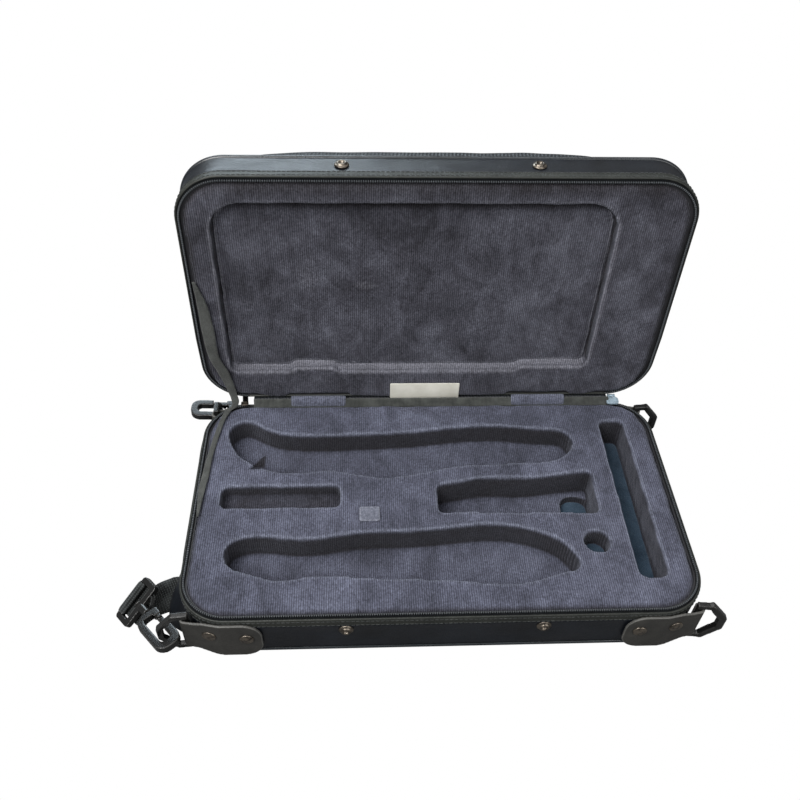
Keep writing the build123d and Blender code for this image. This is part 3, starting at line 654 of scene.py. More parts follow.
SLIDER = metal("slider_enamel", (0.36, 0.46, 0.53), (0.17, 0.22, 0.26), 0.32, 0.5, 0.2)
FELT = felt_material()
PLATE = plate_material()


# Repeated small items along a line, by geometry nodes


def repeat_group():
    """A node group that puts an item at each place, turned by its own angles and a little jitter."""
    g = bpy.data.node_groups.new("repeat_items", "GeometryNodeTree")
    s = g.interface
    s.new_socket("Places", in_out="INPUT", socket_type="NodeSocketGeometry")
    for name, kind in (("Item", "Object"), ("Jitter", "Float"), ("Size", "Float"), ("Seed", "Int"),
                       ("Finish", "Material")):
        s.new_socket(name, in_out="INPUT", socket_type="NodeSocket" + kind)
    s.new_socket("Items", in_out="OUTPUT", socket_type="NodeSocketGeometry")
    new = g.nodes.new
    start, end = new("NodeGroupInput"), new("NodeGroupOutput")
    points = new("GeometryNodeMeshToPoints")
    item = new("GeometryNodeObjectInfo")
    turn = new("GeometryNodeInputNamedAttribute")
    turn.data_type = "FLOAT_VECTOR"
    turn.inputs["Name"].default_value = "turn"
    random = new("FunctionNodeRandomValue")
    random.data_type = "FLOAT_VECTOR"
    add = new("ShaderNodeVectorMath")
    scale = new("ShaderNodeVectorMath")
    scale.operation = "SCALE"
    random.inputs["Min"].default_value = (-1, -1, -1)
    random.inputs["Max"].default_value = (1, 1, 1)
    instance = new("GeometryNodeInstanceOnPoints")
    real = new("GeometryNodeRealizeInstances")
    finish = new("GeometryNodeSetMaterial")
    for source, out, target, into in (
            (start, "Places", points, "Mesh"), (points, 0, instance, "Points"),
            (start, "Item", item, "Object"), (item, "Geometry", instance, "Instance"),
            (start, "Seed", random, "Seed"), (random, 0, scale, 0),
            (start, "Jitter", scale, "Scale"), (turn, 0, add, 0), (scale, 0, add, 1),
            (add, 0, instance, "Rotation"), (start, "Size", instance, "Scale"), (instance, 0, real, 0),
            (real, 0, finish, "Geometry"), (start, "Finish", finish, "Material"), (finish, 0, end, 0)):
        g.links.new(source.outputs[out], target.inputs[into])
    return g


REPEAT = repeat_group()


def repeat(name, points, axes, item, material, body, jitter=0.03, seed=1, replaces=()):
    """Copies of an item at points (mm), each with its own 3x3 axes, as one mesh."""
    mesh = bpy.data.meshes.new(name + "_places")
    mesh.from_pydata((np.asarray(points) * MM).tolist(), [], [])
    turns = [Matrix(a.tolist()).to_euler() for a in axes]
    mesh.attributes.new("turn", "FLOAT_VECTOR", "POINT").data.foreach_set(
        "vector", np.array([tuple(t) for t in turns], np.float32).ravel())
    holder = bpy.data.objects.new(name + "_places", mesh)
    bpy.context.scene.collection.objects.link(holder)
    mod = holder.modifiers.new("repeat", "NODES")
    mod.node_group = REPEAT
    ids = {s.name: s.identifier for s in REPEAT.interface.items_tree if s.in_out == "INPUT"}
    mod[ids["Item"]] = item
    mod[ids["Jitter"]] = jitter
    mod[ids["Size"]] = 1.0
    mod[ids["Seed"]] = seed
    mod[ids["Finish"]] = material
    bpy.context.view_layer.update()
    made = bpy.data.meshes.new_from_object(holder.evaluated_get(bpy.context.evaluated_depsgraph_get()))
    made.name = name
    holder.modifiers.clear()
    bpy.data.objects.remove(holder)
    bpy.data.objects.remove(item)
    edge_attribute(made)
    made.materials.clear()
    made.materials.append(material)
    obj = bpy.data.objects.new(name, made)
    link(obj, body)
    if replaces:
        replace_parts(obj, *replaces)


def unit(name, build):
    """A small template object, made in millimetres by a bmesh function."""
    bm = bmesh.new()
    build(bm)
    bmesh.ops.scale(bm, vec=(MM, MM, MM), verts=bm.verts)
    bmesh.ops.recalc_face_normals(bm, faces=bm.faces)
    mesh = bpy.data.meshes.new(name)
    bm.to_mesh(mesh)
    bm.free()
    shade_smooth(mesh)
    return link(bpy.data.objects.new(name, mesh), None)


def block(size, bevel):
    def build(bm):
        made = bmesh.ops.create_cube(bm, size=1)["verts"]
        bmesh.ops.scale(bm, vec=size, verts=made)
        edges = list({e for v in made for e in v.link_edges})
        bmesh.ops.bevel(bm, geom=edges, offset=bevel, segments=1, affect="EDGES", profile=0.5)
    return build


def stitch_item():
    """One stitch, along X, sunk at both ends."""
    def build(bm):
        rows = []
        for x, r in ((-1.35, 0.1), (-1.2, 0.24), (-0.6, 0.3), (0.0, 0.32), (0.6, 0.3), (1.2, 0.24),
                     (1.35, 0.1)):
            lift = 0.12 * (1 - (x / 1.35) ** 2)
            rows.append([bm.verts.new((x, r * math.cos(a), lift + r * math.sin(a)))
                         for a in np.linspace(0, 2 * math.pi, 6, endpoint=False)])
        for p, q in zip(rows, rows[1:]):
            for k in range(6):
                bm.faces.new((p[k], p[(k + 1) % 6], q[(k + 1) % 6], q[k]))
        bm.faces.new(rows[0])
        bm.faces.new(rows[-1])
    return unit("stitch_item", build)


def along_outline(half, inset, d, pitch, face="out", span=None):
    """Evenly spaced points along the outline with axes: X along it and Z away from the surface."""
    pts, nrm, length = outline(inset, half, 120, 60)
    closed = np.vstack((pts, pts[:1]))
    normals = np.vstack((nrm, nrm[:1]))
    n = int(length[-1] / pitch)
    at = np.linspace(0, length[-1], n, endpoint=False)
    x = np.interp(at, length, closed[:, 0])
    y = np.interp(at, length, closed[:, 1])
    nx = np.interp(at, length, normals[:, 0])
    ny = np.interp(at, length, normals[:, 1])
    keep = np.ones(n, bool) if span is None else span(np.column_stack((x, y)))
    R = turn_to(half)
    points, axes = [], []
    for i in np.nonzero(keep)[0]:
        out = np.array((nx[i], ny[i], 0.0))
        out /= np.linalg.norm(out)
        along = np.array((-out[1], out[0], 0.0))
        z = out if face == "out" else np.array((0, 0, 1.0))
        yy = np.cross(z, along)
        points.append(place(half, (x[i], y[i], d)))
        axes.append(R @ np.column_stack((along, yy, z)))
    return points, axes


def zip_span(half):
    """A test for the stretch of the outline that has the zip: all but the hinge side."""
    side = 1 if half == "base" else -1

    def keep(p):
        return ~((np.abs(p[:, 0]) < WIDTH / 2 - CORNER + 1.0) & (p[:, 1] * side > DEPTH / 2 - CORNER))
    return keep


# The cover's parts on both halves
TOOTH_PITCH = 1.55
STITCH_PITCH = 3.3


def flare(P, nrm):
    """The base's left side stands off the shell near the front corner, and bulges a little elsewhere."""
    x, y, z = P[..., 0], P[..., 1], P[..., 2]
    low = np.clip((36 - z) / 30, 0, 1)
    grow = np.clip((-15 - y) / 46, 0, 1)
    grow = grow * grow * (3 - 2 * grow) * np.clip((y + 95) / 14, 0, 1)
    push = 13.0 * grow * low ** 1.1 * (x < 0)
    wave = 0.35 * noise3(P, 70, 3) * np.clip((z - 6) / 8, 0, 1) * np.clip((35 - z) / 8, 0, 1)
    out = P.copy()
    out[..., 0] -= push
    out[..., 0] += nrm[:, None, 0] * (wave + 0.3)
    out[..., 1] += nrm[:, None, 1] * (wave + 0.3)
    return out


def crown(P, nrm):
    """The lid's sides wave a little between the seams."""
    out = P.copy()
    z = P[..., 2]
    wave = 0.35 * noise3(P + 500, 80, 5) * np.clip((z - 3) / 6, 0, 1) * np.clip((25 - z) / 6, 0, 1)
    out[..., 0] += nrm[:, None, 0] * wave
    out[..., 1] += nrm[:, None, 1] * wave
    return out


def cover_parts(half):
    """One half's sides, bead, binding, tape, teeth and stitches."""
    h, rise = HEIGHT[half], RISE[half]
    tape = h - 2.4
    side_low, side_high = rise + 2.6, tape - 7.0
    outer = [(0.1, d) for d in np.linspace(side_low, side_high, 14)]
    inner = [(1.25, d) for d in np.linspace(side_high, side_low, 4)]
    bulge = flare if half == "base" else crown
    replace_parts(band(f"{half}_side", half, outer + inner, SIDE, "cover_fabric", bulge), f"{half}_side_cover")
    bead = 1.9
    ring = [(0.9 + bead * math.cos(a), rise + 1.6 + bead * math.sin(a))
            for a in np.linspace(0, 2 * math.pi, 14)[:-1]]

    def follow(P, nrm):
        push = flare(np.concatenate((P, P), 1), nrm)[:, : P.shape[1]] - P
        out = P.copy()
        out[..., 0] += push[..., 0] * 0.75
        return out
    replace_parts(band(f"{half}_bead", half, ring, VINYL, "piping", follow if half == "base" else None),
                f"{half}_piping")
    # The binding: a folded strip with a rolled edge next to the zip
    low, high = tape - 7.4, tape + 0.7
    profile = [(-0.1, low), (-0.55, low + 0.5), (-0.65, low + 1.6), (-0.6, (low + high) / 2),
               (-0.6, high - 2.2), (-0.75, high - 1.2), (-0.5, high - 0.35), (0.05, high), (0.6, high - 0.3),
               (0.85, high - 1.1), (1.15, high - 1.4), (1.2, low)]
    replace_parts(band(f"{half}_edge_binding", half, profile, BINDING, "binding"), f"{half}_rim_binding")
    # Zip tape with a small hollow between binding and teeth
    profile = [(0.3, tape + 0.1), (0.45, tape + 0.2), (0.8, tape + 0.3), (1.5, tape + 0.6), (2.9, tape + 1.0),
               (3.3, tape + 0.3), (2.6, tape), (0.4, tape - 0.2)]
    strip_of_tape = band(f"{half}_tape", half, profile, TAPE, "zip_tape", None, zip_span(half))
    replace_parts(strip_of_tape, f"{half}_zip_tape")
    points, axes = along_outline(half, 2.25, tape + 1.72, TOOTH_PITCH, "rim", zip_span(half))
    tooth = unit("tooth", block((0.85, 1.35, 1.45), 0.25))
    repeat(f"{half}_teeth", points, axes, tooth, TEETH, half, 0.03, 3, [f"{half}_zip_teeth"])
    # Two rows of stitches, one on each side of the seam
    for row, d in enumerate((low + 1.3, high - 2.2)):
        points, axes = along_outline(half, -0.62, d, STITCH_PITCH)
        repeat(f"{half}_stitches_{row}", points, axes, stitch_item(), THREAD, half, 0.05, 5 + row)


def panel_disc(name, half, loops, material, slot, replaces):
    """A panel of nested outlines, given as (inset, distance), shut behind."""
    rows = []
    for inset, d in loops:
        pts, _, _ = outline(inset, half, 40, 14)
        rows.append(np.column_stack((pts, np.full(len(pts), d))))
    n = len(rows[0])
    P = np.array(rows)
    faces, uvs = [], []
    flat = P.reshape(-1, 3)
    for i in range(len(rows) - 1):
        for j in range(n):
            q = (i * n + j, i * n + (j + 1) % n, (i + 1) * n + (j + 1) % n, (i + 1) * n + j)
            faces.append(q)
            uvs += [tuple(flat[k, :2]) for k in q]
    for row in (0, len(rows) - 1):
        q = tuple(row * n + j for j in range(n))
        faces.append(q)
        uvs += [tuple(flat[k, :2]) for k in q]
    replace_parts(closed(name, place(half, P).reshape(-1, 3), faces, uvs, material, half, slot), replaces)


for half in ("base", "lid"):
    cover_parts(half)

# Underside and lid panels, from the seam inward
insets = [3.0, 5, 8, 12, 17, 23, 30, 40, 52, 66, 80, 92]
loops = [(3.0, BASE_RISE + 1.0)] + [(i, BASE_RISE * max(0.0, 1 - (i - 3) / 37) ** 1.3) for i in insets]
panel_disc("base_panel", "base", loops, TWILL, "cover_fabric", "base_outer_panel")
loops = [(3.0, LID_RISE + 1.0)] + [(i, LID_RISE * max(0.0, 1 - (i - 3) / 11)) for i in insets]
panel_disc("lid_panel_cloth", "lid", loops, TWILL, "cover_fabric", "lid_outer_panel")


# Foam parts with plush


def tuck(q, half, top):
    """Rounds the plush's outer edge down toward the zip."""
    near = np.clip((9.5 - inset_of(q[:, 0], q[:, 1])) / 5.5, 0, 1)
    drop = 3.2 * near ** 2 * zip_side(half, q[:, 1])
    q[:, 2] -= drop * np.clip((q[:, 2] - top + 7) / 4, 0, 1)
    return q


def in_notch(p, soft):
    """One inside the small notch by the upper joint's cavity."""
    x, y = p[:, 0], p[:, 1]
    within = np.minimum(np.minimum(y - 30.0, x + 142.5 - (y - 30.0) * 0.8), -129.3 - x)
    return np.clip(within / soft, 0, 1)


def pits(p):
    """Painted shade in the notch and the small tray, which are darkest."""
    x, y, d = p[:, 0], p[:, 1], p[:, 2]
    tray = (np.abs(x + 116.5) < 46) & (np.abs(y - 3) < 11.5) & (d < 40)
    fold = in_notch(p + np.array((3.2, -16.7, 0)), 0.8) * (d < 30)
    return np.maximum(np.maximum(in_notch(p, 0.8), fold), tray * 0.8)


def panel_shadow(p):
    """The shadow that the recess's far wall throws on the panel."""
    return 0.95 * np.clip((p[:, 1] - p[:, 1].max() + 9) / 7, 0, 1)


def base_plush(p, n):
    """Soft waves in the plush, its rounded edge and the small notch."""
    out = tuck(p.copy(), "base", 43.5)
    out[:, 2] -= 13 * in_notch(p, 1.2) * np.clip((p[:, 2] - 36) / 4, 0, 1) * (p[:, 1] < 46)
    top = np.clip((p[:, 2] - 38) / 4, 0, 1)
    out += n * (0.28 * noise3(p, 26, 11) * (0.4 + 0.6 * top))[:, None]
    out[:, 2] -= top * 0.25 * (noise3(p * np.array((1, 1, 0)), 60, 12) + 1)
    return out


def lid_plush(p, n):
    """Soft waves, a rounded edge by the zip, and a skirt that hangs to the hinge line."""
    out = tuck(local("lid", p + n * (0.3 * noise3(p, 28, 21))[:, None]), "lid", 32.5)
    x, y = out[:, 0], out[:, 1]
    clear = np.clip((np.abs(np.abs(x) - HINGE_X) - 24.5) / 3, 0, 1) * np.clip((142 - np.abs(x)) / 12, 0, 1)
    out[:, 1] -= 3.4 * clear * np.clip((-88 - y) / 7, 0, 1)
    return place("lid", out)


def soft_waves(p, n):
    """Soft waves on the lid's panel."""
    return place("lid", local("lid", p + n * (0.3 * noise3(p, 28, 21))[:, None]))


def lower_plate(p, _):
    """The plate sits a little nearer to the hinge."""
    q = local("lid", p)
    q[:, 1] -= 3.2
    return place("lid", q)


def thicker(p, n):
    """Thicker bars beyond the leather, for the rings that hang free."""
    return p + n * (0.65 * np.clip((np.abs(p[:, 0]) - WIDTH / 2 - 0.5) / 3, 0, 1))[:, None]


# The plush parts carry painted shade: by depth, by the zip, in the notch and tray, and under the recess's far
# wall.
liner = from_cad("base_liner", "plush_insert", PLUSH_BASE, voxel=1.5, smooth=4, shape=base_plush,
                 deep=("base", 42.4, 3.0, pits))
pad = from_cad("lid_pad", "plush_lid_border", PLUSH_LID_SHADED, voxel=1.5, smooth=4, shape=lid_plush,
               deep=("lid", 31.2))
panel = from_cad("lid_panel", "plush_lid_panel", PLUSH_LID_SHADED, voxel=1.5, smooth=2,
                 shape=soft_waves, deep=("lid", 0.0, 3.0, panel_shadow))
from_cad("pocket_felts", "felt_floors", FELT, voxel=0.6, smooth=2)
from_cad("touch_patch", "touch_square", LOOPS, voxel=0.35, smooth=2)
from_cad("label_plate", "bare_plate", PLATE, bevel=0.2, shape=lower_plate)

# Leathers, rings, hooks and frames
for spot in ("front_left", "front_right", "rear_left", "rear_right"):
    from_cad(f"leather_{spot}", f"leather_tab_{spot}", LEATHER, voxel=0.55, smooth=3)
    from_cad(f"ring_{spot}", f"triangle_ring_{spot}", PLASTIC, voxel=0.45, smooth=4,
             shape=thicker if "right" in spot else None)
for spot in ("front", "rear"):
    from_cad(f"hook_{spot}", f"snap_hook_{spot}", PLASTIC, voxel=0.4, smooth=5)
    from_cad(f"hook_gate_{spot}", f"snap_gate_{spot}", PLASTIC, voxel=0.3, smooth=3)
    from_cad(f"hook_frame_{spot}", f"swivel_frame_{spot}", PLASTIC, voxel=0.35, smooth=4)


# Rivets and press studs, turned from profiles


def turned(profile, sides=28):
    """A solid of revolution about Z from (radius, height) points that start and end on the axis."""
    def build(bm):
        rings = []
        for r, z in profile:
            if r == 0:
                rings.append([bm.verts.new((0, 0, z))])
            else:
                rings.append([bm.verts.new((r * math.cos(a), r * math.sin(a), z))
                              for a in np.linspace(0, 2 * math.pi, sides, endpoint=False)])
        for p, q in zip(rings, rings[1:]):
            for k in range(sides):
                a, b = p[k % len(p)], p[(k + 1) % len(p)]
                c, d = q[(k + 1) % len(q)], q[k % len(q)]
                face = []
                for v in (a, b, c, d):
                    if v not in face:
                        face.append(v)
                bm.faces.new(face)
    return build


def facing(direction):
    """Axes whose Z points in a level direction."""
    z = np.array(direction, float)
    z /= np.linalg.norm(z)
    x = np.cross((0, 0, 1), z)
    x /= np.linalg.norm(x)
    return np.column_stack((x, np.cross(z, x), z))


# From the middle of the case: across, out, up, and how much each rivet turns round the corner
RIVETS = ((134.5, 103.0, 23.5, 0.0), (159.7, 101.5, 26.0, 0.192))
STUD_X, STUD_FACE = 67.5, 100.35
rivet_profile = [(0, -0.2), (4.6, -0.2), (4.95, 0.0), (5.0, 0.35), (4.6, 0.75), (4.0, 0.95), (3.6, 0.8),
                 (3.2, 0.85), (2.2, 1.25), (1.0, 1.42), (0, 1.45)]
points, axes = [], []
for sx in (-1, 1):
    for sy in (-1, 1):
        for x, y, z, lean in RIVETS:
            points.append(np.array((sx * x, sy * y, z)))
            axes.append(facing((sx * lean, sy, 0)))
repeat("rivet_heads", points, axes, unit("rivet", turned(rivet_profile)), BRASS, "base", 0.0, 2,
       ["corner_rivets"])
stud_profile = [(0, -0.2), (4.9, -0.2), (5.15, 0.1), (4.9, 0.75), (4.1, 1.15), (3.6, 1.2), (3.5, 1.9),
                (3.1, 2.25), (2.4, 2.25), (1.9, 1.9), (1.75, 0.9), (0, 0.8)]
for half, d, front in (("base", 29.0, -1), ("lid", 14.5, 1)):
    points = [place(half, (x, front * STUD_FACE, d)) for x in (-STUD_X, STUD_X)]
    axes = [turn_to(half) @ facing((0, front, 0))] * 2
    repeat(f"{half}_studs", points, axes, unit("stud", turned(stud_profile)), BRASS, half,
           0.0, 2, [f"{half}_press_studs"])


# Flat strips of cloth along a line: ribbon, spine fabric and webbing


def strip(name, centres, widths, wide_dirs, thick, material, body, slot, rows):
    """A thin strip: centres and width directions in mm, with rounded edges."""
    centres, wide_dirs = np.asarray(centres, float), np.asarray(wide_dirs, float)
    widths = np.broadcast_to(widths, len(centres))
    run = np.gradient(centres, axis=0)
    run /= np.linalg.norm(run, axis=1)[:, None]
    wide = wide_dirs - run * np.einsum("ij,ij->i", wide_dirs, run)[:, None]
    wide /= np.linalg.norm(wide, axis=1)[:, None]
    up = np.cross(run, wide)
    across = np.linspace(-1, 1, rows)
    edge = np.sqrt(np.clip(1 - np.abs(across) ** 12, 0.12, 1))
    section = [(a, 0.5 * e) for a, e in zip(across, edge)]
    section += [(a, -0.5 * e) for a, e in zip(across[::-1], edge[::-1])]
    P = np.zeros((len(centres), len(section), 3))
    for j, (a, t) in enumerate(section):
        P[:, j] = centres + wide * (a * widths / 2)[:, None] + up * (t * thick)
    V = [(a + 1) / 2 * float(widths.max()) for a, _ in section]
    return grid(name, P, steps(centres)[:-1], V + [V[0]], False, material, body, slot)


def curve_through(points, per=8):
    """A smooth line through points, as a Catmull-Rom curve."""
    p = np.asarray(points, float)
    ext = np.vstack((2 * p[0] - p[1], p, 2 * p[-1] - p[-2]))
    out = []
    for i in range(1, len(ext) - 2):
        a, b, c, d = ext[i - 1:i + 3]
        for t in np.linspace(0, 1, per, endpoint=False):
            out.append(0.5 * (2 * b + (c - a) * t + (2 * a - 5 * b + 4 * c - d) * t ** 2
                              + (3 * b - a - 3 * c + d) * t ** 3))
    out.append(p[-1])
    return np.array(out)


# Ribbon that runs from the base up the lid at the left
ribbon_pts = []
for x, y, w in ((-179.6, -16, 1.6), (-179.6, 8, 5.2), (-178.4, 22, 5.6), (-177, 44, 4.4), (-172.5, 76, 4.2),
                (-168.8, 89, 4.6), (-163.5, 96.5, 5.0)):
    ribbon_pts.append((*place("base", (x + 4.0, y, 45.1)), w, 0))
for x, v, w in ((-161.5, 2.5, 6.5), (-166.0, 27, 9.8), (-171.5, 46, 9.0), (-172.3, 72, 10.5),
                (-173.6, 96, 8.2), (-177.0, 117, 2.4)):
    ribbon_pts.append((*place("lid", (x + 1.5, v - 100, 34.0)), w, 1))
ribbon_pts = np.array(ribbon_pts)
line = curve_through(ribbon_pts[:, :3], 10)
where = np.linspace(0, len(ribbon_pts) - 1, len(line))
width = np.interp(where, np.arange(len(ribbon_pts)), ribbon_pts[:, 3])
share = np.interp(where, np.arange(len(ribbon_pts)), ribbon_pts[:, 4])
wide_base = np.array((1.0, 0.25, 0.15))
dirs = np.array([wide_base * (1 - s) + np.array((1.0, -0.25, 0.0)) * s for s in share])
ribbon = strip("gusset_ribbon", line, width, dirs, 0.7, RIBBON, None, "zip_tape", 8)
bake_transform(ribbon)
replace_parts(ribbon, "base_ribbon", "lid_ribbon")

# Spine fabric over the hinges
SPINE_X, SPINE_Y, SPINE_LONG = 3.2, 102.9, 295.5
spine = [place("base", (SPINE_X, SPINE_Y, d)) for d in np.linspace(20, 42, 10)]
spine += [place("lid", (SPINE_X, -SPINE_Y, d)) for d in np.linspace(31, 9, 10)]
line = curve_through(spine, 6)
level = np.tile((1.0, 0, 0), (len(line), 1))
cloth = strip("spine_fabric", line, SPINE_LONG, level, 0.9, TWILL, None, "binding", 60)
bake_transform(cloth)
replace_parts(cloth, "base_spine_strip", "lid_spine_strip")

# The tape that closes the gap between the halves, and the plush patches over the hinges
TAPE_ROLL = np.array(((96.0, 42.4), (97.0, 43.4), (97.8, 45.0), (98.6, 46.7), (99.4, 47.7), (100.6, 48.0)))
PATCH_ROLL = np.array(((96.7, 42.8), (97.1, 44.4), (97.5, 46.0), (98.4, 47.7), (99.8, 49.0), (101.3, 49.5),
                       (102.5, 49.1)))
TAPE_SPANS = ((-144.0, 151.0),)
PATCH_SPANS = ((-113.5, -68.8), (68.8, 113.5))


def roll_over(name, line, spans, half_thick, puff, material):
    """Closed strips over the hinge line, each with a profile in y and z carried along x."""
    lean = np.gradient(line, axis=0)
    lean /= np.linalg.norm(lean, axis=1)[:, None]
    away = np.column_stack((-lean[:, 1], lean[:, 0]))
    middle = np.sin(np.linspace(0, math.pi, len(line)))[:, None]
    made = []
    for low, high in spans:
        xs = np.linspace(low, high, 70)
        rows = []
        for x in xs:
            near_end = min(x - low, high - x) / 4
            full = math.sqrt(max(0.0, 1 - max(0.0, 1 - near_end) ** 2)) if puff else 1.0
            wave = 0.12 * math.sin(x / 5.3) + 0.1 * math.sin(x / 13 + 1)
            swell = (puff + wave * (1 if puff else 0.5)) * middle * full
            upper = line + away * (half_thick + swell - 0.5 * (1 - full))
            under = line - away * (half_thick + 0.5 * (1 - full))
            rows.append([(x, y, z) for y, z in np.vstack((upper, under[::-1]))])
        rows = np.array(rows)
        made.append(grid(name, rows, xs, steps(rows[35][:, 1:]), False, material, None))
    bm = bmesh.new()
    for part in made:
        bm.from_mesh(part.data)
    mesh = made[0].data
    bm.to_mesh(mesh)
    bm.free()
    for part in made[1:]:
        bpy.data.objects.remove(part)
    edge_attribute(mesh)
    shade_smooth(mesh)
    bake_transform(made[0])
    return made[0]


roll_over("hinge_line_tape", TAPE_ROLL, TAPE_SPANS, 0.3, 0, RIBBON)
patches = roll_over("plush_hinge_patches", PATCH_ROLL, PATCH_SPANS, 0.4, 0.6, PLUSH_BASE)
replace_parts(patches, "hinge_patches")


# Outside pocket with its zip
POCKET_SIZE, POCKET_MIDDLE, POCKET_SWELL = (306.0, 173.0), (-8, 10), 15.2


def pocket_shape():
    """The pocket's bulging face and its flat back, with how many steps each has across and up."""
    nx, ny = 90, 64
    rows = []
    (w, h), (mx, my) = POCKET_SIZE, POCKET_MIDDLE
    for j in range(ny + 1):
        for i in range(nx + 1):
            u, v = i / nx * 2 - 1, -math.cos(math.pi * j / ny)
            # The corners are rounded by drawing the sides in near them
            x = mx + w / 2 * u * math.sqrt(max(0.0, 1 - 0.10 * v ** 8))
            y = my + h / 2 * v * math.sqrt(max(0.0, 1 - 0.16 * u ** 8))
            rows.append((x, y, u, v))
    rows = np.array(rows)
    u, v = rows[:, 2], rows[:, 3]
    ends = np.clip(1 - np.abs(u) ** 5, 0, 1) ** 0.6
    low = np.clip(1 - np.clip(-v, 0, 1) ** 9, 0, 1) ** 0.5
    gusset = np.sqrt(np.clip(1 - np.clip((v - 0.972) / 0.028, 0, 1) ** 2, 0, 1))
    P = np.column_stack((rows[:, 0], rows[:, 1], POCKET_SWELL * ends * low * gusset))
    fold = 0.55 * noise3(np.column_stack((P[:, 0], P[:, 1] * 2.5, P[:, 0] * 0)), 55, 31) * ends * low * gusset
    P[:, 2] = -0.3 - np.minimum(P[:, 2] + fold, 16.0)
    back = P.copy()
    back[:, 2] = 0.8
    return P, back, nx, ny


front_p, back_p, nx, ny = pocket_shape()
verts = np.vstack((front_p, back_p))
faces, uvs = [], []
half_n = len(front_p)


def add_quad(q):
    faces.append(q)
    uvs.extend([tuple(verts[k, :2]) for k in q])


for j in range(ny):
    for i in range(nx):
        a = j * (nx + 1) + i
        add_quad((a, a + 1, a + nx + 2, a + nx + 1))
        add_quad((half_n + a + nx + 1, half_n + a + nx + 2, half_n + a + 1, half_n + a))
rim = list(range(nx + 1)) + [(j + 1) * (nx + 1) + nx for j in range(ny)]
rim += [ny * (nx + 1) + i for i in range(nx - 1, -1, -1)] + [j * (nx + 1) for j in range(ny - 1, 0, -1)]
for a, b in zip(rim, rim[1:] + rim[:1]):
    add_quad((a, b, b + half_n, a + half_n))
pocket = closed("music_pocket", place("lid", verts), faces, uvs, TWILL, "lid", "cover_fabric")
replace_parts(pocket, "outer_pocket")

# Piping round the pocket's seam
edge_line = front_p[rim][::2]
pts = place("lid", edge_line * np.array((1, 1, 0)) + np.array((0, 0, -0.4)))
P = []
for i in range(len(pts)):
    tangent = pts[(i + 1) % len(pts)] - pts[i - 1]
    tangent /= np.linalg.norm(tangent)
    side = np.cross(tangent, LID_OUT)
    side /= np.linalg.norm(side)
    P.append([pts[i] + 1.3 * (side * math.cos(a) + LID_OUT * math.sin(a))
              for a in np.linspace(0, 2 * math.pi, 8, endpoint=False)])
grid("pocket_piping", P, steps(pts), np.arange(9) * 1.0, True, VINYL, "lid", "piping")

# Pocket zip: tape, teeth, slider and pull
face_d = -16.1
zip_y = 52.0
tape_line = [place("lid", (x, zip_y, face_d - 0.45)) for x in np.linspace(-118, 102, 80)]
tape_obj = strip("pocket_zip_tape", tape_line, 13, np.tile(LID_UP, (80, 1)), 0.8, TAPE, "lid", "zip_tape", 10)
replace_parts(tape_obj, "pocket_zip")
points = [place("lid", (x, zip_y, face_d - 1.35)) for x in np.arange(-117, 101.5, TOOTH_PITCH)]
axes = [turn_to("lid") @ np.diag((1.0, -1.0, -1.0))] * len(points)
tooth = unit("tooth", block((0.98, 3.4, 0.95), 0.25))
repeat("pocket_teeth", points, axes, tooth, TEETH, "lid", 0.02, 4)
for which in ("pocket", "zip"):
    from_cad(f"{which}_slider", f"{which}_slider_body", SLIDER, voxel=0.25, smooth=3)
    from_cad(f"{which}_pull", f"{which}_slider_pull", SLIDER, voxel=0.2, smooth=2)
from_cad("zip_stop", "zip_end_stop", BRASS, voxel=0.2, smooth=2)

# Shells and hinges keep their CAD shape
shell_mat = plastic("shell_plastic", (0.01, 0.01, 0.012), 0.5)
for node, material in (("base_shell", shell_mat), ("lid_shell", shell_mat), ("base_hinge_leaves", STEEL),
                       ("lid_hinge_leaves", STEEL), ("hinge_pins", STEEL)):
    obj = frame["nodes"][node]
    obj.data.materials.clear()
    obj.data.materials.append(material)

# Shoulder strap: its two frames, as the CAD places them
BAR = 11.3
STRAP_Y = 115.05
BACK = (0.0, -1.0, 0.0)


def unit_vector(v):
    return v / np.linalg.norm(v)


def frame_axes(along, across, lean):
    """A frame's length, its width direction turned by a lean in degrees, and its face's normal."""
    along = unit_vector(np.array(along))
    across = np.array(across)
    across = unit_vector(across - along * (across @ along))
    lean = math.radians(lean)
    side = across * math.cos(lean) + np.cross(along, across) * math.sin(lean)
    return along, side, np.cross(along, side)


front_o = np.array((-211.95, -71.0, 14.5))
rear_o = np.array((-154.6, STRAP_Y, 21.6))
front_a, fside, fnorm = frame_axes((0.649, -0.744, 0.155), (0.754, 0.657, 0.0), 30)
rear_a, rside, rnorm = frame_axes((-1.0, 0, 0.04), (0.0, 1.0, 0.0), -65)
path, wide = [], []


def lay(point, side):
    """Adds one place on the strap, with the direction of its width there."""
    path.append(np.array(point, float))
    wide.append(np.array(side, float))


def wrap(origin, along, normal, side, turns):
    """The loop round a frame's outer bar."""
    for a in turns:
        r = math.radians(a)
        lay(origin - along * BAR + along * 2.9 * math.cos(r) + normal * 3.3 * math.sin(r), side)


wrap(front_o, front_a, fnorm, fside, np.linspace(20, 270, 12))
lay(front_o - front_a * 5 - fnorm * 3.9, fside)
lay(front_o + front_a * 2 - fnorm * 5.6, fside)
# Down to the ground, along the left wall and round the rear corner
for point, side in (((-205, -66.5, 8.0), (0.45, 0.8, 0.35)), ((-197, -58.5, 5.0), (0.3, 0.95, 0.15)),
                    ((-187, -51, 2.2), (0.6, 0.75, 0))):
    lay(point, side)
for y in (-38, -15, 10, 40, 70, 92):
    lay((-179.5, y, 1.0), (1.0, 0, 0))
for point, side in (((-177, 107, 1.2), (0.75, -0.65, 0)), ((-166, 114.6, 1.5), (0.2, -1, 0)),
                    ((-150, STRAP_Y, 1.0), BACK)):
    lay(point, side)
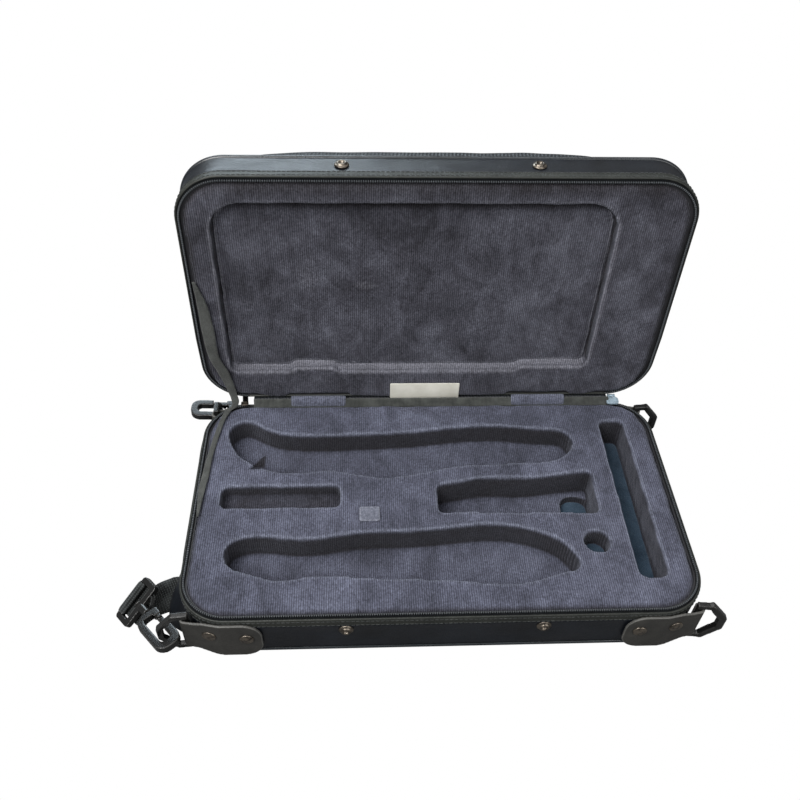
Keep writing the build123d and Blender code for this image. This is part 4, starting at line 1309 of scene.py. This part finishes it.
# Four layers folded flat behind the base
FOLDS, FOLD_RISE = 4, 2.1
for layer in range(FOLDS):
    z = 1.0 + layer * FOLD_RISE
    sign = 1 if layer % 2 == 0 else -1
    start, end = (-108.0, 88.0)[::sign]
    for t in np.linspace(0, 1, 9):
        lay((start + (end - start) * t, STRAP_Y, z), BACK)
    if layer < FOLDS - 1:
        for a in (-50, 0, 50):
            r = math.radians(a)
            lay((end + sign * 1.5 * math.cos(r), STRAP_Y, z + FOLD_RISE / 2 * (1 + math.sin(r))), BACK)
rise = rear_o - rear_a * (BAR + 4.4)
for t in (0.35, 0.7):
    lay(path[-1] * (1 - t) + rise * t, -rside)
wrap(rear_o, rear_a, rnorm, -rside, np.linspace(180, -20, 10))
path, wide = np.array(path), np.array(wide)
line = curve_through(path, 5)
where = np.linspace(0, len(path) - 1, len(line))
dirs = np.column_stack([np.interp(where, np.arange(len(path)), wide[:, k]) for k in range(3)])
webbing = strip("shoulder_strap", line, 25.0, dirs, 1.4, WEBBING, "base", "webbing", 14)
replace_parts(webbing, "strap_webbing")

# Light, floor and camera
WORLD_LIGHT, FLOOR_GREY = 0.26, 0.12
world = bpy.data.worlds.new("studio")
bpy.context.scene.world = world
world.use_nodes = True
background = world.node_tree.nodes["Background"]
background.inputs[0].default_value = (1, 1, 1, 1)
background.inputs[1].default_value = WORLD_LIGHT


def softbox(name, at, to, size, power, tint=(1, 1, 1)):
    """A rectangular lamp that looks at a point, in metres and watts."""
    data = bpy.data.lights.new(name, "AREA")
    data.shape = "RECTANGLE"
    data.size, data.size_y = size
    data.energy = power
    data.color = tint
    obj = bpy.data.objects.new(name, data)
    obj.location = at
    obj.rotation_mode = "QUATERNION"
    obj.rotation_quaternion = (Vector(to) - Vector(at)).to_track_quat("-Z", "Y")
    bpy.context.scene.collection.objects.link(obj)


softbox("key", (-0.7, -0.6, 1.3), (0, 0.05, 0.05), (1.1, 0.9), 34)
softbox("fill", (0.9, -0.9, 0.8), (0, 0.05, 0.05), (1.0, 1.0), 8)
softbox("top", (0.0, 0.35, 1.2), (0, 0.1, 0.1), (1.2, 0.5), 5)
softbox("back", (-0.45, 1.6, 1.1), (-0.05, 0.13, 0.2), (1.0, 0.5), 16, (0.78, 0.91, 1.0))

# A pale floor that the camera sees as white and the object as grey
floor_mat = bpy.data.materials.new("pale_floor")
floor_mat.use_nodes = True
tree = floor_mat.node_tree
tree.nodes.clear()
out, diffuse, glow, rays, both = (tree.nodes.new("ShaderNode" + kind) for kind in (
    "OutputMaterial", "BsdfDiffuse", "Emission", "LightPath", "MixShader"))
diffuse.inputs[0].default_value = (FLOOR_GREY, FLOOR_GREY, FLOOR_GREY, 1)
glow.inputs[0].default_value = (1, 1, 1, 1)
for socket, to in ((rays.outputs["Is Camera Ray"], both.inputs[0]), (diffuse.outputs[0], both.inputs[1]),
                   (glow.outputs[0], both.inputs[2]), (both.outputs[0], out.inputs[0])):
    tree.links.new(socket, to)
FLOOR_REACH = 60
mesh = bpy.data.meshes.new("floor")
corners = [(x * FLOOR_REACH, y * FLOOR_REACH, -0.0002) for x, y in ((-1, -1), (1, -1), (1, 1), (-1, 1))]
mesh.from_pydata(corners, [], [(0, 1, 2, 3)])
mesh.materials.append(floor_mat)
floor = bpy.data.objects.new("floor", mesh)
bpy.context.scene.collection.objects.link(floor)

# The camera as solved from the photograph: place in millimetres, angles in degrees
CAMERA_AT = (-57.118, -392.157, 546.105)
PITCH_DOWN, YAW, ROLL = 45.379, 3.878, 2.313
FOCAL_PX, PICTURE_PX = 846.286, 800
camera = bpy.data.cameras.new("camera")
camera.sensor_width = 36
camera.lens = FOCAL_PX / PICTURE_PX * 36
cam = bpy.data.objects.new("camera", camera)
pitch, yaw, roll = (math.radians(a) for a in (PITCH_DOWN, YAW, ROLL))
forward = Vector((math.sin(yaw) * math.cos(pitch), math.cos(yaw) * math.cos(pitch), -math.sin(pitch)))
right = Vector((math.cos(yaw), -math.sin(yaw), 0))
up = right.cross(forward)
right2 = right * math.cos(roll) + up * math.sin(roll)
up2 = up * math.cos(roll) - right * math.sin(roll)
m = Matrix((right2, up2, -forward)).transposed().to_4x4()
m.translation = Vector(CAMERA_AT) * MM
cam.matrix_world = m
bpy.context.scene.collection.objects.link(cam)
scene = bpy.context.scene
scene.camera = cam
scene.view_settings.view_transform = "Standard"
